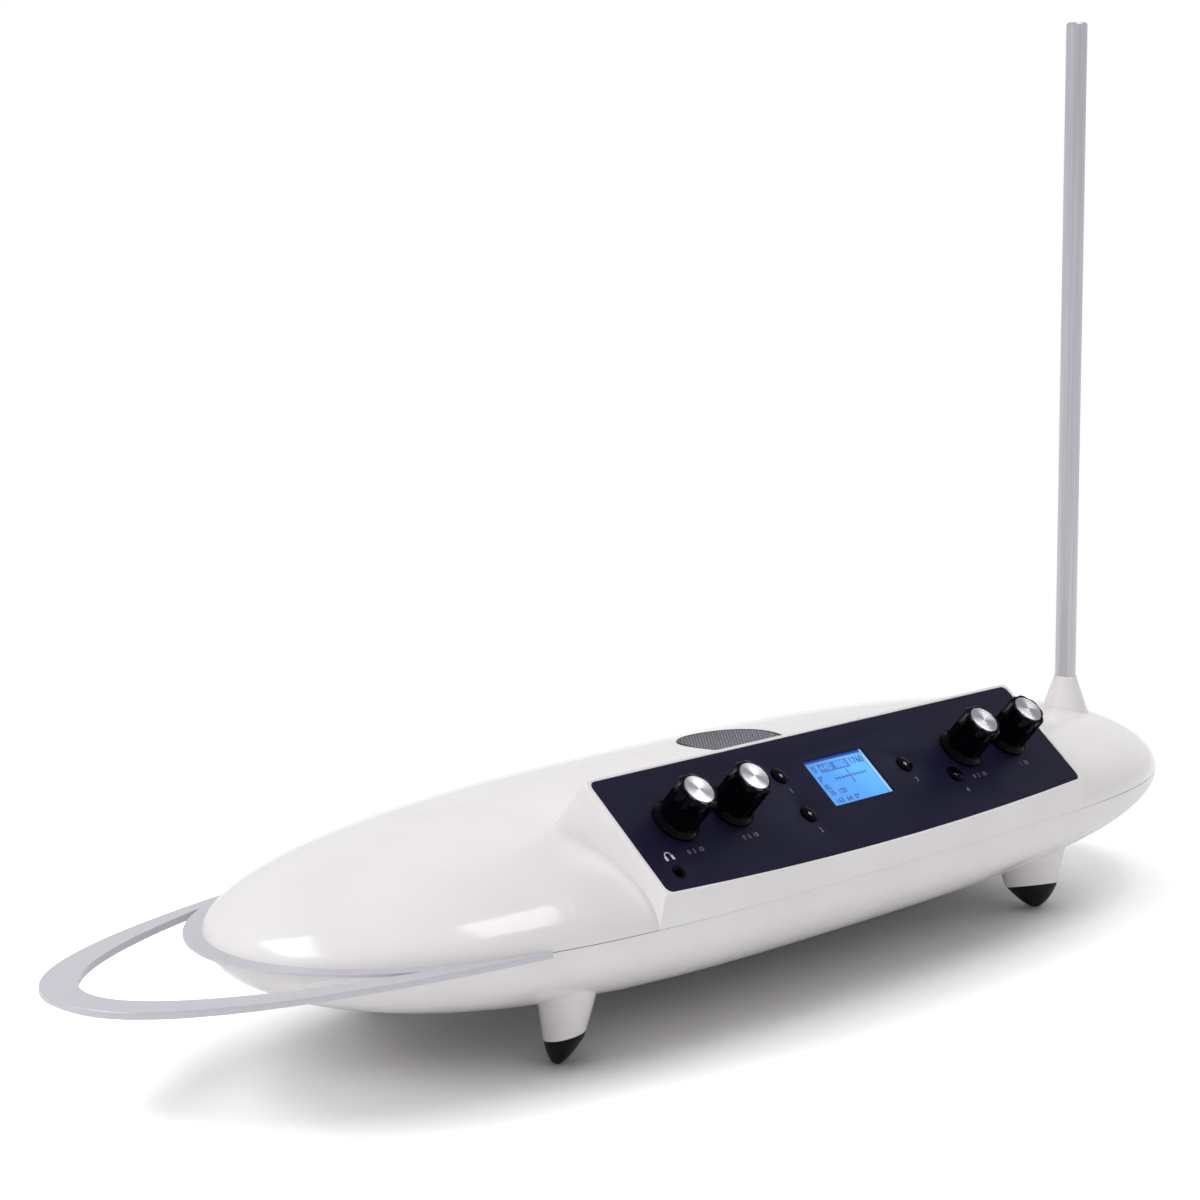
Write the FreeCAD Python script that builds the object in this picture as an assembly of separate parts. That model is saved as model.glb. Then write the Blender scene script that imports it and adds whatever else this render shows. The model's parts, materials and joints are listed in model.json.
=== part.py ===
import FreeCAD, Part
import math
import os

V = FreeCAD.Vector
SMALL = 0.01                 # tolerance for picking edges by their place

# Theremin: a boat-shaped two-shell case on four legs, a sloping control panel in the front,
# a flat volume antenna loop clamped in the seam on the left and a pitch antenna rod on the right.
# +Z up, front towards -Y, the volume antenna towards -X. Millimetres.

# ---- Body ----
BODY_X = 41.1                # body centre along X and Y, so that the whole instrument,
BODY_Y = 1.77                # loop and panel included, is centred over the origin
SEAM_Z = 59.3
BODY_LEFT = 290.0            # from the body centre to its left end, at the seam
BODY_RIGHT = 291.0
BODY_HALF_WIDTH = 98.0
OUTLINE_POWER_LEFT = 3.8     # plan outline at the seam: (x / end) ** power + (y / half width) ** 2 = 1
OUTLINE_POWER_RIGHT = 5.0
DOME_HEIGHT = 41.1
DOME_LEFT = (2.53, 1.75)     # ridge line: (x / end) ** first + (height / full height) ** second = 1
DOME_RIGHT = (2.06, 2.8)
BELLY_DEPTH = 47.5
BELLY_CURVE = (2.67, 2.0)
WALL = 2.5
SECTIONS = 26

# ---- Panel housing ----
PANEL_TOP_Y = -52.2
PANEL_TOP_Z = 114.0
PANEL_SLOPE = 40.7
PANEL_HALF_WIDTH = 145.0
PANEL_SIDE_DROP = 59.6
PANEL_BOW = 4.5
PANEL_CORNER = 3.5
PANEL_THICKNESS = 1.0
PANEL_GAP = 0.15
PANEL_EDGE = 0.3             # bevel round the face of the panel
DISH_WIDTH = 1.2             # countersink round the buttons and the headphone socket
DISH_DEPTH = 0.4
RIM_SIDE = 2.5
RIM_TOP = 1.9
BACK_SLOPE = 50.0
RIM_FRONT = 1.0
HOUSING_PROUD = 0.3
HOUSING_EDGE_RADIUS = 4.0
HOUSING_STEPS = 12
RIDGE_RADIUS = 1.2
DECK = 2.5

# ---- Controls on the panel, (across, down the slope) ----
KNOB_OUTER = 115.5
KNOB_INNER = 80.8
KNOB_DROP = 28.3
SCALE_AT = (-39.5, 18.6)
ROOT_AT = (-39.5, 40.8)
SETUP_AT = (39.5, 28.4)
EFFECT_AT = (66.0, 40.0)
PHONES_AT = (-131.7, 51.3)

SKIRT_RADIUS = 10.0
SKIRT_THICKNESS = 2.6
KNOB_HEIGHT = 21.4
KNOB_LIFT = 0.5
KNOB_FOOT_RADIUS = 9.5
KNOB_TOP_RADIUS = 8.6
FLUTES = 8
FLUTE_RADIUS = 7.0
FLUTE_DEPTH = 0.86
CAP_RADIUS = 6.1
CAP_THICKNESS = 1.4
KNOB_CAP_PROUD = 0.15
KNOB_BEVEL = 0.7
KNOB_NOOK = 6.6
SHAFT_RADIUS = 3.0
SHAFT_TOP = 16.0
FIT = 0.08                   # radial clearance of what turns or slides
PRESS = 0.02                 # radial clearance of what is pressed or screwed in
BUSHING_RADIUS = 3.6
BUSHING_TOP = 3.6
POT_SIZE = 12.0
POT_DEPTH = 7.0
NUT_FLATS = 10.0
NUT_THICKNESS = 2.0

BUTTON_RADIUS = 4.0
BUTTON_PROUD = 1.3
BUTTON_CLEARANCE = 0.2
BUTTON_CROWN = 0.9
BUTTON_FLANGE = 5.2
BUTTON_SHELF = 1.0
BUTTON_TRAVEL = 0.5
STOP_GAP = 0.1
SEAT_GAP = 0.1               # between faces of separate moving pieces at rest
SWITCH_SIZE = 6.2
SWITCH_HEIGHT = 3.5
PLUNGER_RADIUS = 1.7
PLUNGER_HEIGHT = 0.8

DISPLAY_WIDTH = 41.3
DISPLAY_HEIGHT = 26.2
DISPLAY_DROP = 27.4
WINDOW_LAP = 2.2
WINDOW_THICKNESS = 1.2
MODULE_WIDTH = 58.0
MODULE_HEIGHT = 37.0
MODULE_DEPTH = 5.0

BOARD_THICKNESS = 1.6
CONTROL_BOARD_HALF = 123.0
CONTROL_BOARD_TOP = 9.0
CONTROL_BOARD_BOTTOM = 53.0
CONTROL_POSTS = [(-98.0, 13.0), (-98.0, 49.0), (98.0, 13.0), (98.0, 49.0)]
POST_RADIUS = 3.4
SCREW_RADIUS = 1.4
SCREW_HEAD_RADIUS = 2.8
SCREW_HEAD = 1.8
SCREW_LENGTH = 6.0
SMALL_SCREW = (SCREW_RADIUS, SCREW_HEAD_RADIUS, SCREW_HEAD)
PHONES_BODY = 9.0
PHONES_DEPTH = 13.0
PHONES_BORE = 1.8
PHONES_LEAD = 0.8
PHONES_SUNK = 0.5            # mouth of the socket under the face of the panel
COLLAR_RADIUS = 3.2

# ---- Volume antenna ----
PLATE_THICKNESS = 3.0
PLATE_RISE = 0.9             # of the plate's top over the seam
PLATE_EDGE = 0.6             # rounding of its outer edges
OUTLINE_STEPS = 36
LOOP_CENTRE_X = 133.4
LOOP_HALF_LENGTH = 506.6
LOOP_HALF_WIDTH = 104.5
LOOP_POWER = 2.4
HOLE_HALF_LENGTH = 492.9
HOLE_HALF_WIDTH = 112.0
HOLE_POWER = 2.0
COLLAR_END = 8.5
COLLAR_SIDE = 4.5
COLLAR_TUCK = 14.0
COLLAR_LIP = 1.0             # the collar thins to this outside the body
COLLAR_NECK = 1.0            # and keeps the full thickness this far out
SLOT_END_X = -200.5
LOOP_SCREW_LENGTH = 9.0
STRIP_LENGTH = 26.0
STRIP_WIDTH = 8.0
STRIP_THICKNESS = 0.6
LOOP_SCREWS = [(-280.0, 0.0), (-225.0, -66.0), (-225.0, 66.0)]

# ---- Pitch antenna ----
ROD_X = 239.8
ROD_Y = -22.0
ROD_RADIUS = 5.25
ROD_TOP_Z = 434.0
ROD_CHAMFER = 0.9
STUD_RADIUS = 3.0
STUD_LENGTH = 14.0
STUD_TIP = 0.6
CONE_TOP_Z = 102.8
CONE_TOP_RADIUS = 5.6
CONE_FOOT_RADIUS = 13.0
CONE_FOOT_Z = 82.0
SOCKET_RADIUS = 4.2
SOCKET_LENGTH = 22.0
SEAT_WALL = 3.0

# ---- Speaker ----
GRILLE_X = 11.0
GRILLE_Y = 6.0
GRILLE_RADIUS = 26.0
GRILLE_THICKNESS = 1.4
GRILLE_RIM = 1.6
GRILLE_PITCH = 3.4
GRILLE_BAR = 1.2
SPEAKER_OPENING = 23.0
SPEAKER_SEAT_Z = 91.0
SPEAKER_FLANGE = 26.0
SPEAKER_FLANGE_THICKNESS = 1.5
BASKET_DEPTH = 13.0
MAGNET_RADIUS = 15.0
MAGNET_DEPTH = 9.0
CONE_SHEET = 0.8
CONE_DEPTH = 9.0
CONE_CLEARANCE = 0.75        # between the cone's rim and the basket
VOICE_RADIUS = 6.0
DUST_CAP_RADIUS = 8.0
DUST_CAP_RISE = 1.5

# ---- Legs ----
LEG_X = 164.4                # where the leg meets its rubber tip
LEG_Y = 55.7
LEG_SPLIT_Z = 11.5
LEG_SPLIT_FRONT = 13.0       # slant of that joint, up towards the outer side
LEG_SPLIT_IN = 5.4           # and up towards the middle of the body
LEG_LONG = 12.7
LEG_SHORT = 8.9
LEG_ROOT_LONG = 16.7
LEG_ROOT_SHORT = 12.0
LEG_ROOT_Z = 26.5
LEG_ROOT_IN = 1.6
LEG_REACH = 10.0             # into the belly, over the root
LEG_TIP_OUT = 4.0
LEG_TIP_POWER = 0.57
LEG_TIP_FLAT = 0.3           # how far the rounded tip would reach under the ground, were it not flat
LEG_TIP_STEPS = [0.0, 0.03, 0.12, 0.3, 0.55, 0.8]
LEG_STEM_RADIUS = 3.5
LEG_STEM_LENGTH = 6.0

# ---- Rear connectors ----
BAY_HALF_WIDTH = 74.0
BAY_Y = 76.0
BAY_FLOOR_Z = 61.8
BAY_CEILING_Z = 82.6
REAR_PLATE = 1.5
SOCKET_ROW_Z = 72.2
JACKS_X = [48.0, 24.0, 0.0]
JACK_BORE = 3.2
JACK_BUSHING = 5.0
JACK_BODY = 15.0
JACK_DEPTH = 24.0
JACK_PROUD = 4.0
JACK_NUT_FLATS = 13.0
JACK_NUT = 2.2
INLET_X = -44.0
INLET_BODY = 10.0
INLET_DEPTH = 12.0
INLET_COLLAR = 4.0
INLET_BORE = 2.8
INLET_PIN = 1.0
DATA_X = -24.0
DATA_WIDTH = 12.0
DATA_HEIGHT = 11.0
DATA_DEPTH = 14.0
DATA_WALL = 1.6
TONGUE_WIDTH = 5.6
TONGUE_HEIGHT = 3.2
POWER_X = -62.0
POWER_RADIUS = 4.5
POWER_PROUD = 5.0
POWER_TRAVEL = 2.0
POWER_BODY = 8.0
POWER_WALL = 1.6

# ---- Main board and case screws ----
MAIN_BOARD_Z = 36.0
MAIN_BOARD_HALF_LENGTH = 120.0
MAIN_BOARD_HALF_WIDTH = 48.0
MAIN_POSTS = [(-112.0, -40.0), (-112.0, 40.0), (112.0, -40.0), (112.0, 40.0)]
CASE_SCREWS = [(-134.0, -62.0), (-134.0, 62.0), (134.0, -62.0), (134.0, 62.0),
               (-236.0, 0.0), (236.0, 24.0)]
CASE_POST_RADIUS = 5.2
CASE_SCREW_RADIUS = 1.8
CASE_HEAD_RADIUS = 3.4
CASE_HEAD = 2.4
CASE_SEAT_Z = 44.0
CASE_SCREW_TOP_Z = 70.0
CASE_SCREW = (CASE_SCREW_RADIUS, CASE_HEAD_RADIUS, CASE_HEAD)

# ---- Stand insert ----
STAND_BORE = 7.6
STAND_INSERT_RADIUS = 11.0
STAND_INSERT_LENGTH = 13.0
STAND_BOSS_WALL = 3.0
STAND_INSERT_Z = 13.2
STAND_LEAD = 0.9

TAU = math.radians(PANEL_SLOPE)


# ---------------------------------------------------------------- helpers
def cyl(radius, z0, z1, x=0.0, y=0.0):
    return Part.makeCylinder(radius, z1 - z0, V(x, y, z0))


def cone(r0, r1, z0, z1, x=0.0, y=0.0):
    return Part.makeCone(r0, r1, z1 - z0, V(x, y, z0))


def box(x0, x1, y0, y1, z0, z1):
    return Part.makeBox(x1 - x0, y1 - y0, z1 - z0, V(x0, y0, z0))


def fuse(shapes):
    first = shapes[0]
    return first.fuse(shapes[1:]).removeSplitter()


def turned(profile, x=0.0, y=0.0):
    """Solid of revolution about the vertical through (x, y); profile is (radius, z) points."""
    points = [V(r, 0, z) for r, z in profile]
    face = Part.Face(Part.makePolygon(points + [points[0]]))
    solid = face.revolve(V(0, 0, 0), V(0, 0, 1), 360)
    solid.translate(V(x, y, 0))
    return solid


def hexagon(flats, z0, z1, x=0.0, y=0.0):
    corner = flats / math.sqrt(3)
    angles = [math.radians(60 * i) for i in range(7)]
    ring = [V(x + corner * math.cos(a), y + corner * math.sin(a), z0) for a in angles]
    return Part.Face(Part.makePolygon(ring)).extrude(V(0, 0, z1 - z0))


def on_panel(shape):
    """Take a shape from panel coordinates (across, up the slope, out) to its place."""
    placed = shape.copy()
    placed.rotate(V(0, 0, 0), V(1, 0, 0), PANEL_SLOPE)
    placed.translate(V(0, PANEL_TOP_Y, PANEL_TOP_Z))
    return placed


def on_rear(shape):
    """Take a shape built along +Z to the rear wall, its axis along +Y."""
    placed = shape.copy()
    placed.rotate(V(0, 0, 0), V(1, 0, 0), -90)
    placed.translate(V(0, BAY_Y, SOCKET_ROW_Z))
    return placed


# ---------------------------------------------------------------- the two shells
def outline_power(x):
    return OUTLINE_POWER_LEFT if x < 0 else OUTLINE_POWER_RIGHT


def body_end(x):
    return BODY_LEFT if x < 0 else BODY_RIGHT


def outline_width(x):
    """Half the body's width at the seam, at the distance x from its middle."""
    return BODY_HALF_WIDTH * math.sqrt(1 - (abs(x) / body_end(x)) ** outline_power(x))


def body_section(x, share, half_width, height, curve, side):
    """Half oval across the body at x, which lies at the given share of the way to its end."""
    width = half_width * math.sqrt(1 - share ** outline_power(x))
    rise = height * (1 - share ** curve[0]) ** (1 / curve[1])
    oval = Part.Ellipse(V(x, width, SEAM_Z), V(x, 0, SEAM_Z + side * rise), V(x, 0, SEAM_Z))
    arc = Part.ArcOfEllipse(oval, 0, math.pi).toShape()
    base = Part.makeLine(V(x, -width, SEAM_Z), V(x, width, SEAM_Z))
    return Part.Wire([arc, base])


def half_body(inset, height, left_curve, right_curve, side):
    """Half of the boat-shaped body above (side 1) or below (side -1) the seam, inset all round."""
    parts = [Part.Vertex(inset - BODY_LEFT, 0, SEAM_Z)]
    for i in range(1, SECTIONS):
        share = -math.cos(math.pi * i / SECTIONS)
        x = share * (body_end(share) - inset)
        curve = left_curve if share < 0 else right_curve
        parts.append(body_section(x, abs(share), BODY_HALF_WIDTH - inset, height - inset, curve, side))
    parts.append(Part.Vertex(BODY_RIGHT - inset, 0, SEAM_Z))
    return Part.makeLoft(parts, True, False)


def dome(inset):
    return half_body(inset, DOME_HEIGHT, DOME_LEFT, DOME_RIGHT, 1)


def belly(inset):
    return half_body(inset, BELLY_DEPTH, BELLY_CURVE, BELLY_CURVE, -1)


def panel_point(across, drop, out=0.0):
    return V(across,
             PANEL_TOP_Y - drop * math.cos(TAU) - out * math.sin(TAU),
             PANEL_TOP_Z - drop * math.sin(TAU) + out * math.cos(TAU))


def front_edge_drop(across):
    """How far down the slope the bowed lower edge of the panel lies."""
    return PANEL_SIDE_DROP + PANEL_BOW * (1 - (across / PANEL_HALF_WIDTH) ** 2)


def housing(inset, depth):
    """Wedge that carries the panel: ruled between the seam outline and the sloping top plane."""
    half = PANEL_HALF_WIDTH + RIM_SIDE - inset
    back = math.radians(BACK_SLOPE)
    ridge_drop = -RIM_TOP + (inset - depth * math.cos(TAU + back)) / math.sin(TAU + back)
    ridge = panel_point(0, ridge_drop, -depth)
    foot_y = ridge.y + (ridge.z - SEAM_Z) / math.tan(back)
    low, high = [], []
    for i in range(HOUSING_STEPS + 1):
        x = half * (2.0 * i / HOUSING_STEPS - 1)
        width = outline_width(x)
        low.append(V(x, -width - HOUSING_PROUD + inset, SEAM_Z))
        drop = front_edge_drop(x) + RIM_FRONT + (depth * math.sin(TAU) - inset) / math.cos(TAU)
        high.append(panel_point(x, drop, -depth))
    wires = []
    for points, y, z in ((low, foot_y, SEAM_Z), (high, ridge.y, ridge.z)):
        curve = Part.BSplineCurve()
        curve.interpolate(points)
        right, left = V(half, y, z), V(-half, y, z)
        wires.append(Part.Wire([curve.toShape(), Part.makeLine(points[-1], right),
                                Part.makeLine(right, left), Part.makeLine(left, points[0])]))
    return Part.makeLoft(wires, True, True)


def rounded_housing():
    """The outside of the wedge, softened where its back slope turns into its ends and its top."""
    wedge = housing(0.0, 0.0)
    half = PANEL_HALF_WIDTH + RIM_SIDE
    ridge = panel_point(0, -RIM_TOP)
    ends = []
    for edge in wedge.Edges:
        extent = edge.BoundBox
        on_end = extent.XLength < SMALL and abs(abs(extent.XMin) - half) < SMALL
        full_height = extent.ZMax > ridge.z - SMALL and extent.ZMin < SEAM_Z + SMALL
        if on_end and full_height and extent.YMin > ridge.y - SMALL:
            ends.append(edge)
    wedge = wedge.makeFillet(HOUSING_EDGE_RADIUS, ends)
    tops = [e for e in wedge.Edges if e.BoundBox.ZMin > ridge.z - SMALL]
    return wedge.makeFillet(RIDGE_RADIUS, tops)


def panel_slab(grow, low, high):
    """Slab with the panel's outline, grown all round, between two heights over the panel plane."""
    half = PANEL_HALF_WIDTH + grow
    side = -PANEL_SIDE_DROP - grow
    bottom = -front_edge_drop(0) - grow
    corners = [V(-half, side, low), V(-half, grow, low), V(half, grow, low), V(half, side, low)]
    edges = [Part.makeLine(corners[i], corners[i + 1]) for i in range(3)]
    edges.append(Part.Arc(corners[3], V(0, bottom, low), corners[0]).toShape())
    slab = Part.Face(Part.Wire(edges)).extrude(V(0, 0, high - low))
    upright = [e for e in slab.Edges if e.BoundBox.XLength < SMALL and e.BoundBox.YLength < SMALL]
    return slab.makeFillet(PANEL_CORNER + grow, upright)


def bay(grow, reach):
    """Recess for the connectors in the rear of the upper shell."""
    return box(-BAY_HALF_WIDTH - grow, BAY_HALF_WIDTH + grow, BAY_Y - grow, BAY_Y + reach,
               BAY_FLOOR_Z - grow, BAY_CEILING_Z + grow)


def slot_for_plate(z0, z1):
    reach = LOOP_HALF_LENGTH
    return box(-reach, SLOT_END_X, -reach, reach, z0, z1)


def knob_places():
    return [(across, KNOB_DROP) for across in (-KNOB_OUTER, -KNOB_INNER, KNOB_INNER, KNOB_OUTER)]


def button_places():
    return [SCALE_AT, ROOT_AT, SETUP_AT, EFFECT_AT]


def window_size(grow):
    return DISPLAY_WIDTH + 2 * (WINDOW_LAP + grow), DISPLAY_HEIGHT + 2 * (WINDOW_LAP + grow)


def slab_at(width, height, drop, low, high, across=0.0):
    return box(across - width / 2, across + width / 2, -drop - height / 2, -drop + height / 2, low, high)


def control_holes(low, high, deck):
    """What goes through the panel (deck False) or through the deck under it (deck True)."""
    tools = [cyl(BUSHING_RADIUS + PANEL_GAP, low, high, u, -v) for u, v in knob_places()]
    tools += [cyl(BUTTON_RADIUS + BUTTON_CLEARANCE, low, high, u, -v) for u, v in button_places()]
    tools.append(cyl(COLLAR_RADIUS + PANEL_GAP, low, high, PHONES_AT[0], -PHONES_AT[1]))
    width, height = window_size(PANEL_GAP) if deck else (DISPLAY_WIDTH, DISPLAY_HEIGHT)
    tools.append(slab_at(width, height, DISPLAY_DROP, low, high))
    return Part.makeCompound(tools)


def lowered_dome():
    skin = dome(0)
    skin.translate(V(0, 0, -GRILLE_THICKNESS))
    return skin


def upper_shell():
    deck_under = -PANEL_THICKNESS - DECK
    rod_cone = cone(CONE_FOOT_RADIUS, CONE_TOP_RADIUS, CONE_FOOT_Z, CONE_TOP_Z, ROD_X, ROD_Y)
    outer = dome(0).fuse([rounded_housing(), rod_cone])
    cavity = dome(WALL).fuse(housing(WALL, -deck_under)).cut(bay(WALL, BODY_HALF_WIDTH))
    shell = outer.cut(cavity)

    solid_dome = dome(WALL / 2)
    solid_top = solid_dome.fuse(housing(WALL / 2, PANEL_THICKNESS + DECK / 2))
    bosses = [cyl(CASE_POST_RADIUS, SEAM_Z, PANEL_TOP_Z, x, y).common(solid_top) for x, y in CASE_SCREWS]
    seats = [cyl(SPEAKER_OPENING + SEAT_WALL, SPEAKER_SEAT_Z, PANEL_TOP_Z, GRILLE_X, GRILLE_Y),
             cyl(SOCKET_RADIUS + SEAT_WALL, CONE_TOP_Z - SOCKET_LENGTH, CONE_TOP_Z, ROD_X, ROD_Y)]
    bosses += [seat.common(solid_dome) for seat in seats]
    bosses += [on_panel(cyl(POST_RADIUS, deck_under - POT_DEPTH, deck_under + DECK / 2, u, -v))
               for u, v in CONTROL_POSTS]
    shell = shell.fuse(bosses)

    recess = cyl(GRILLE_RADIUS + PANEL_GAP, SPEAKER_SEAT_Z, PANEL_TOP_Z, GRILLE_X, GRILLE_Y)
    recess = recess.cut(lowered_dome())
    tools = [bay(0, BODY_HALF_WIDTH),
             on_panel(panel_slab(0, -PANEL_THICKNESS, RIM_TOP)),
             on_panel(control_holes(deck_under - FIT, 0, True)),
             recess,
             cyl(SPEAKER_OPENING, SEAM_Z, PANEL_TOP_Z, GRILLE_X, GRILLE_Y),
             cyl(SOCKET_RADIUS + PRESS, SEAM_Z, PANEL_TOP_Z, ROD_X, ROD_Y),
             slot_for_plate(SEAM_Z, SEAM_Z + PLATE_RISE),
             rear_holes(-WALL - FIT, FIT)]
    tools += [cyl(CASE_SCREW_RADIUS + PRESS, SEAM_Z, CASE_SCREW_TOP_Z + WALL, x, y)
              for x, y in CASE_SCREWS]
    tools += [on_panel(cyl(SCREW_RADIUS + PRESS, deck_under - POT_DEPTH, deck_under, u, -v))
              for u, v in CONTROL_POSTS]
    return shell.cut(tools)


def leg_section(x, y, z):
    """Oval across one leg at height z, its long axis along the diagonal, pointing away from the body."""
    out = math.copysign(1, x)
    if z < LEG_SPLIT_Z:
        size = ((z + LEG_TIP_FLAT) / (LEG_SPLIT_Z + LEG_TIP_FLAT)) ** LEG_TIP_POWER
        long_half, short_half = LEG_LONG * size, LEG_SHORT * size
        shift = LEG_TIP_OUT * (1 - z / LEG_SPLIT_Z)
    else:
        share = (z - LEG_SPLIT_Z) / (LEG_ROOT_Z - LEG_SPLIT_Z)
        long_half = LEG_LONG + (LEG_ROOT_LONG - LEG_LONG) * share
        short_half = LEG_SHORT + (LEG_ROOT_SHORT - LEG_SHORT) * share
        shift = -LEG_ROOT_IN * share
    centre = V(x + out * shift, y, z)
    along = V(out, math.copysign(1, y), 0).normalize()
    across = V(-along.y, along.x, 0)
    oval = Part.Ellipse(centre + along * long_half, centre + across * short_half, centre)
    return Part.Wire(oval.toShape())


def leg_form(x, y):
    """Outside of one leg with its tip: an oval cone, rounded off to a small flat on the ground."""
    sections = [leg_section(x, y, LEG_SPLIT_Z * step) for step in LEG_TIP_STEPS]
    middle = leg_section(x, y, LEG_SPLIT_Z)
    tip = Part.makeLoft(sections + [middle], True, False)
    shaft = Part.makeLoft([middle, leg_section(x, y, LEG_ROOT_Z + LEG_REACH)], True, True)
    return tip.fuse(shaft)


def below_split(x, y):
    """Everything under the slanting joint of leg and tip."""
    reach = 3 * LEG_LONG
    block = box(-reach, reach, -reach, reach, -reach, 0)
    block.rotate(V(0, 0, 0), V(1, 0, 0), math.copysign(LEG_SPLIT_FRONT, y))
    block.rotate(V(0, 0, 0), V(0, 1, 0), math.copysign(LEG_SPLIT_IN, x))
    block.translate(V(x, y, LEG_SPLIT_Z))
    return block


def leg_places():
    return [(-LEG_X, -LEG_Y), (LEG_X, -LEG_Y), (-LEG_X, LEG_Y), (LEG_X, LEG_Y)]


def leg(x, y):
    return leg_form(x, y).cut(below_split(x, y))


def leg_hollow(x, y):
    return cone(LEG_SHORT - WALL, LEG_ROOT_SHORT - WALL,
                LEG_SPLIT_Z + LEG_STEM_LENGTH, LEG_ROOT_Z + LEG_REACH, x, y)


def foot_tip(x, y):
    stem = cyl(LEG_STEM_RADIUS, LEG_SPLIT_Z / 2, LEG_SPLIT_Z + LEG_STEM_LENGTH, x, y)
    return fuse([leg_form(x, y).common(below_split(x, y)), stem])


def lower_shell():
    plate_under = SEAM_Z + PLATE_RISE - PLATE_THICKNESS
    solid_belly = belly(WALL / 2)
    floor = SEAM_Z - BELLY_DEPTH
    bosses = [cyl(CASE_POST_RADIUS, floor, SEAM_Z, x, y) for x, y in CASE_SCREWS]
    bosses += [cyl(POST_RADIUS, floor, plate_under, x, y) for x, y in LOOP_SCREWS]
    bosses += [cyl(POST_RADIUS, floor, MAIN_BOARD_Z, x, y) for x, y in MAIN_POSTS]
    bosses.append(cyl(STAND_INSERT_RADIUS + STAND_BOSS_WALL, floor, STAND_INSERT_Z + STAND_INSERT_LENGTH))
    shell = belly(0).fuse([leg(x, y) for x, y in leg_places()]).cut(belly(WALL))
    shell = shell.fuse([boss.common(solid_belly) for boss in bosses])

    tools = [leg_hollow(x, y) for x, y in leg_places()]
    tools += [cyl(LEG_STEM_RADIUS + PRESS, 0, LEG_SPLIT_Z + LEG_STEM_LENGTH, x, y)
              for x, y in leg_places()]
    tools += [cyl(CASE_SCREW_RADIUS + PANEL_GAP, 0, SEAM_Z, x, y) for x, y in CASE_SCREWS]
    tools += [cyl(CASE_HEAD_RADIUS + PANEL_GAP, 0, CASE_SEAT_Z, x, y) for x, y in CASE_SCREWS]
    tools += [cyl(SCREW_RADIUS + PRESS, plate_under - LOOP_SCREW_LENGTH, SEAM_Z, x, y)
              for x, y in LOOP_SCREWS]
    tools += [cyl(SCREW_RADIUS + PRESS, MAIN_BOARD_Z - SCREW_LENGTH, MAIN_BOARD_Z, x, y)
              for x, y in MAIN_POSTS]
    tools.append(cyl(STAND_INSERT_RADIUS + PRESS, STAND_INSERT_Z, SEAM_Z))
    tools.append(cyl(STAND_BORE + STAND_LEAD, 0, STAND_INSERT_Z))
    tools.append(slot_for_plate(plate_under, SEAM_Z))
    return shell.cut(tools)


# ---------------------------------------------------------------- antennas
def rounded_outline(centre_x, half_length, half_width, power_along, power_across):
    """Closed left half of a superellipse about (centre_x, 0), cut off at its widest place."""
    points = []
    for i in range(OUTLINE_STEPS + 1):
        angle = math.pi / 2 * (1 - 2.0 * i / OUTLINE_STEPS)
        x = centre_x - half_length * math.cos(angle) ** (2 / power_along)
        y = half_width * math.copysign(abs(math.sin(angle)) ** (2 / power_across), angle)
        points.append(V(x, y, 0))
    curve = Part.BSplineCurve()
    curve.interpolate(points)
    return Part.Wire([curve.toShape(), Part.makeLine(points[-1], points[0])])


def body_outline(grow):
    """Left half of the body's outline at the seam, grown all round."""
    return rounded_outline(0, BODY_LEFT + grow[0], BODY_HALF_WIDTH + grow[1], OUTLINE_POWER_LEFT, 2.0)


def plate_region(wire, thickness=PLATE_THICKNESS, below_top=PLATE_THICKNESS):
    """Slab of the given outline, its underside below_top under the top face of the loop."""
    region = Part.Face(wire).extrude(V(0, 0, thickness))
    region.translate(V(0, 0, SEAM_Z + PLATE_RISE - below_top))
    return region


def loop_blade():
    """Outside of the loop as a full plate with rounded edges."""
    blade = plate_region(rounded_outline(LOOP_CENTRE_X, LOOP_HALF_LENGTH, LOOP_HALF_WIDTH,
                                         LOOP_POWER, LOOP_POWER))
    return blade.makeFillet(PLATE_EDGE, [e for e in blade.Edges if e.BoundBox.XLength > SMALL])


def volume_antenna():
    """Flat loop that runs into the seam, with a collar round the end of the body and three screw holes."""
    hole = rounded_outline(LOOP_CENTRE_X, HOLE_HALF_LENGTH, HOLE_HALF_WIDTH, HOLE_POWER, HOLE_POWER)
    collar = plate_region(body_outline((COLLAR_END, COLLAR_SIDE)))
    neck = plate_region(body_outline((COLLAR_NECK, COLLAR_NECK)))
    inside = plate_region(body_outline((-COLLAR_TUCK, -COLLAR_TUCK)))
    upper_hole = plate_region(hole, COLLAR_LIP, COLLAR_LIP).cut(collar)
    lower_hole = plate_region(hole, PLATE_THICKNESS - COLLAR_LIP).cut(neck)
    reach = LOOP_HALF_LENGTH
    rest = box(SLOT_END_X, reach, -reach, reach, 0, 2 * SEAM_Z)
    plate = loop_blade().cut([upper_hole, lower_hole, inside, rest])
    return plate.cut([cyl(SCREW_RADIUS + PANEL_GAP, 0, 2 * SEAM_Z, x, y) for x, y in LOOP_SCREWS])


def pitch_antenna():
    low = CONE_TOP_Z + SEAT_GAP
    return turned([(0, low - STUD_LENGTH), (STUD_RADIUS - STUD_TIP, low - STUD_LENGTH),
                   (STUD_RADIUS, low - STUD_LENGTH + STUD_TIP), (STUD_RADIUS, low), (ROD_RADIUS, low),
                   (ROD_RADIUS, ROD_TOP_Z - ROD_CHAMFER), (ROD_RADIUS - ROD_CHAMFER, ROD_TOP_Z),
                   (0, ROD_TOP_Z)], ROD_X, ROD_Y)


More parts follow.
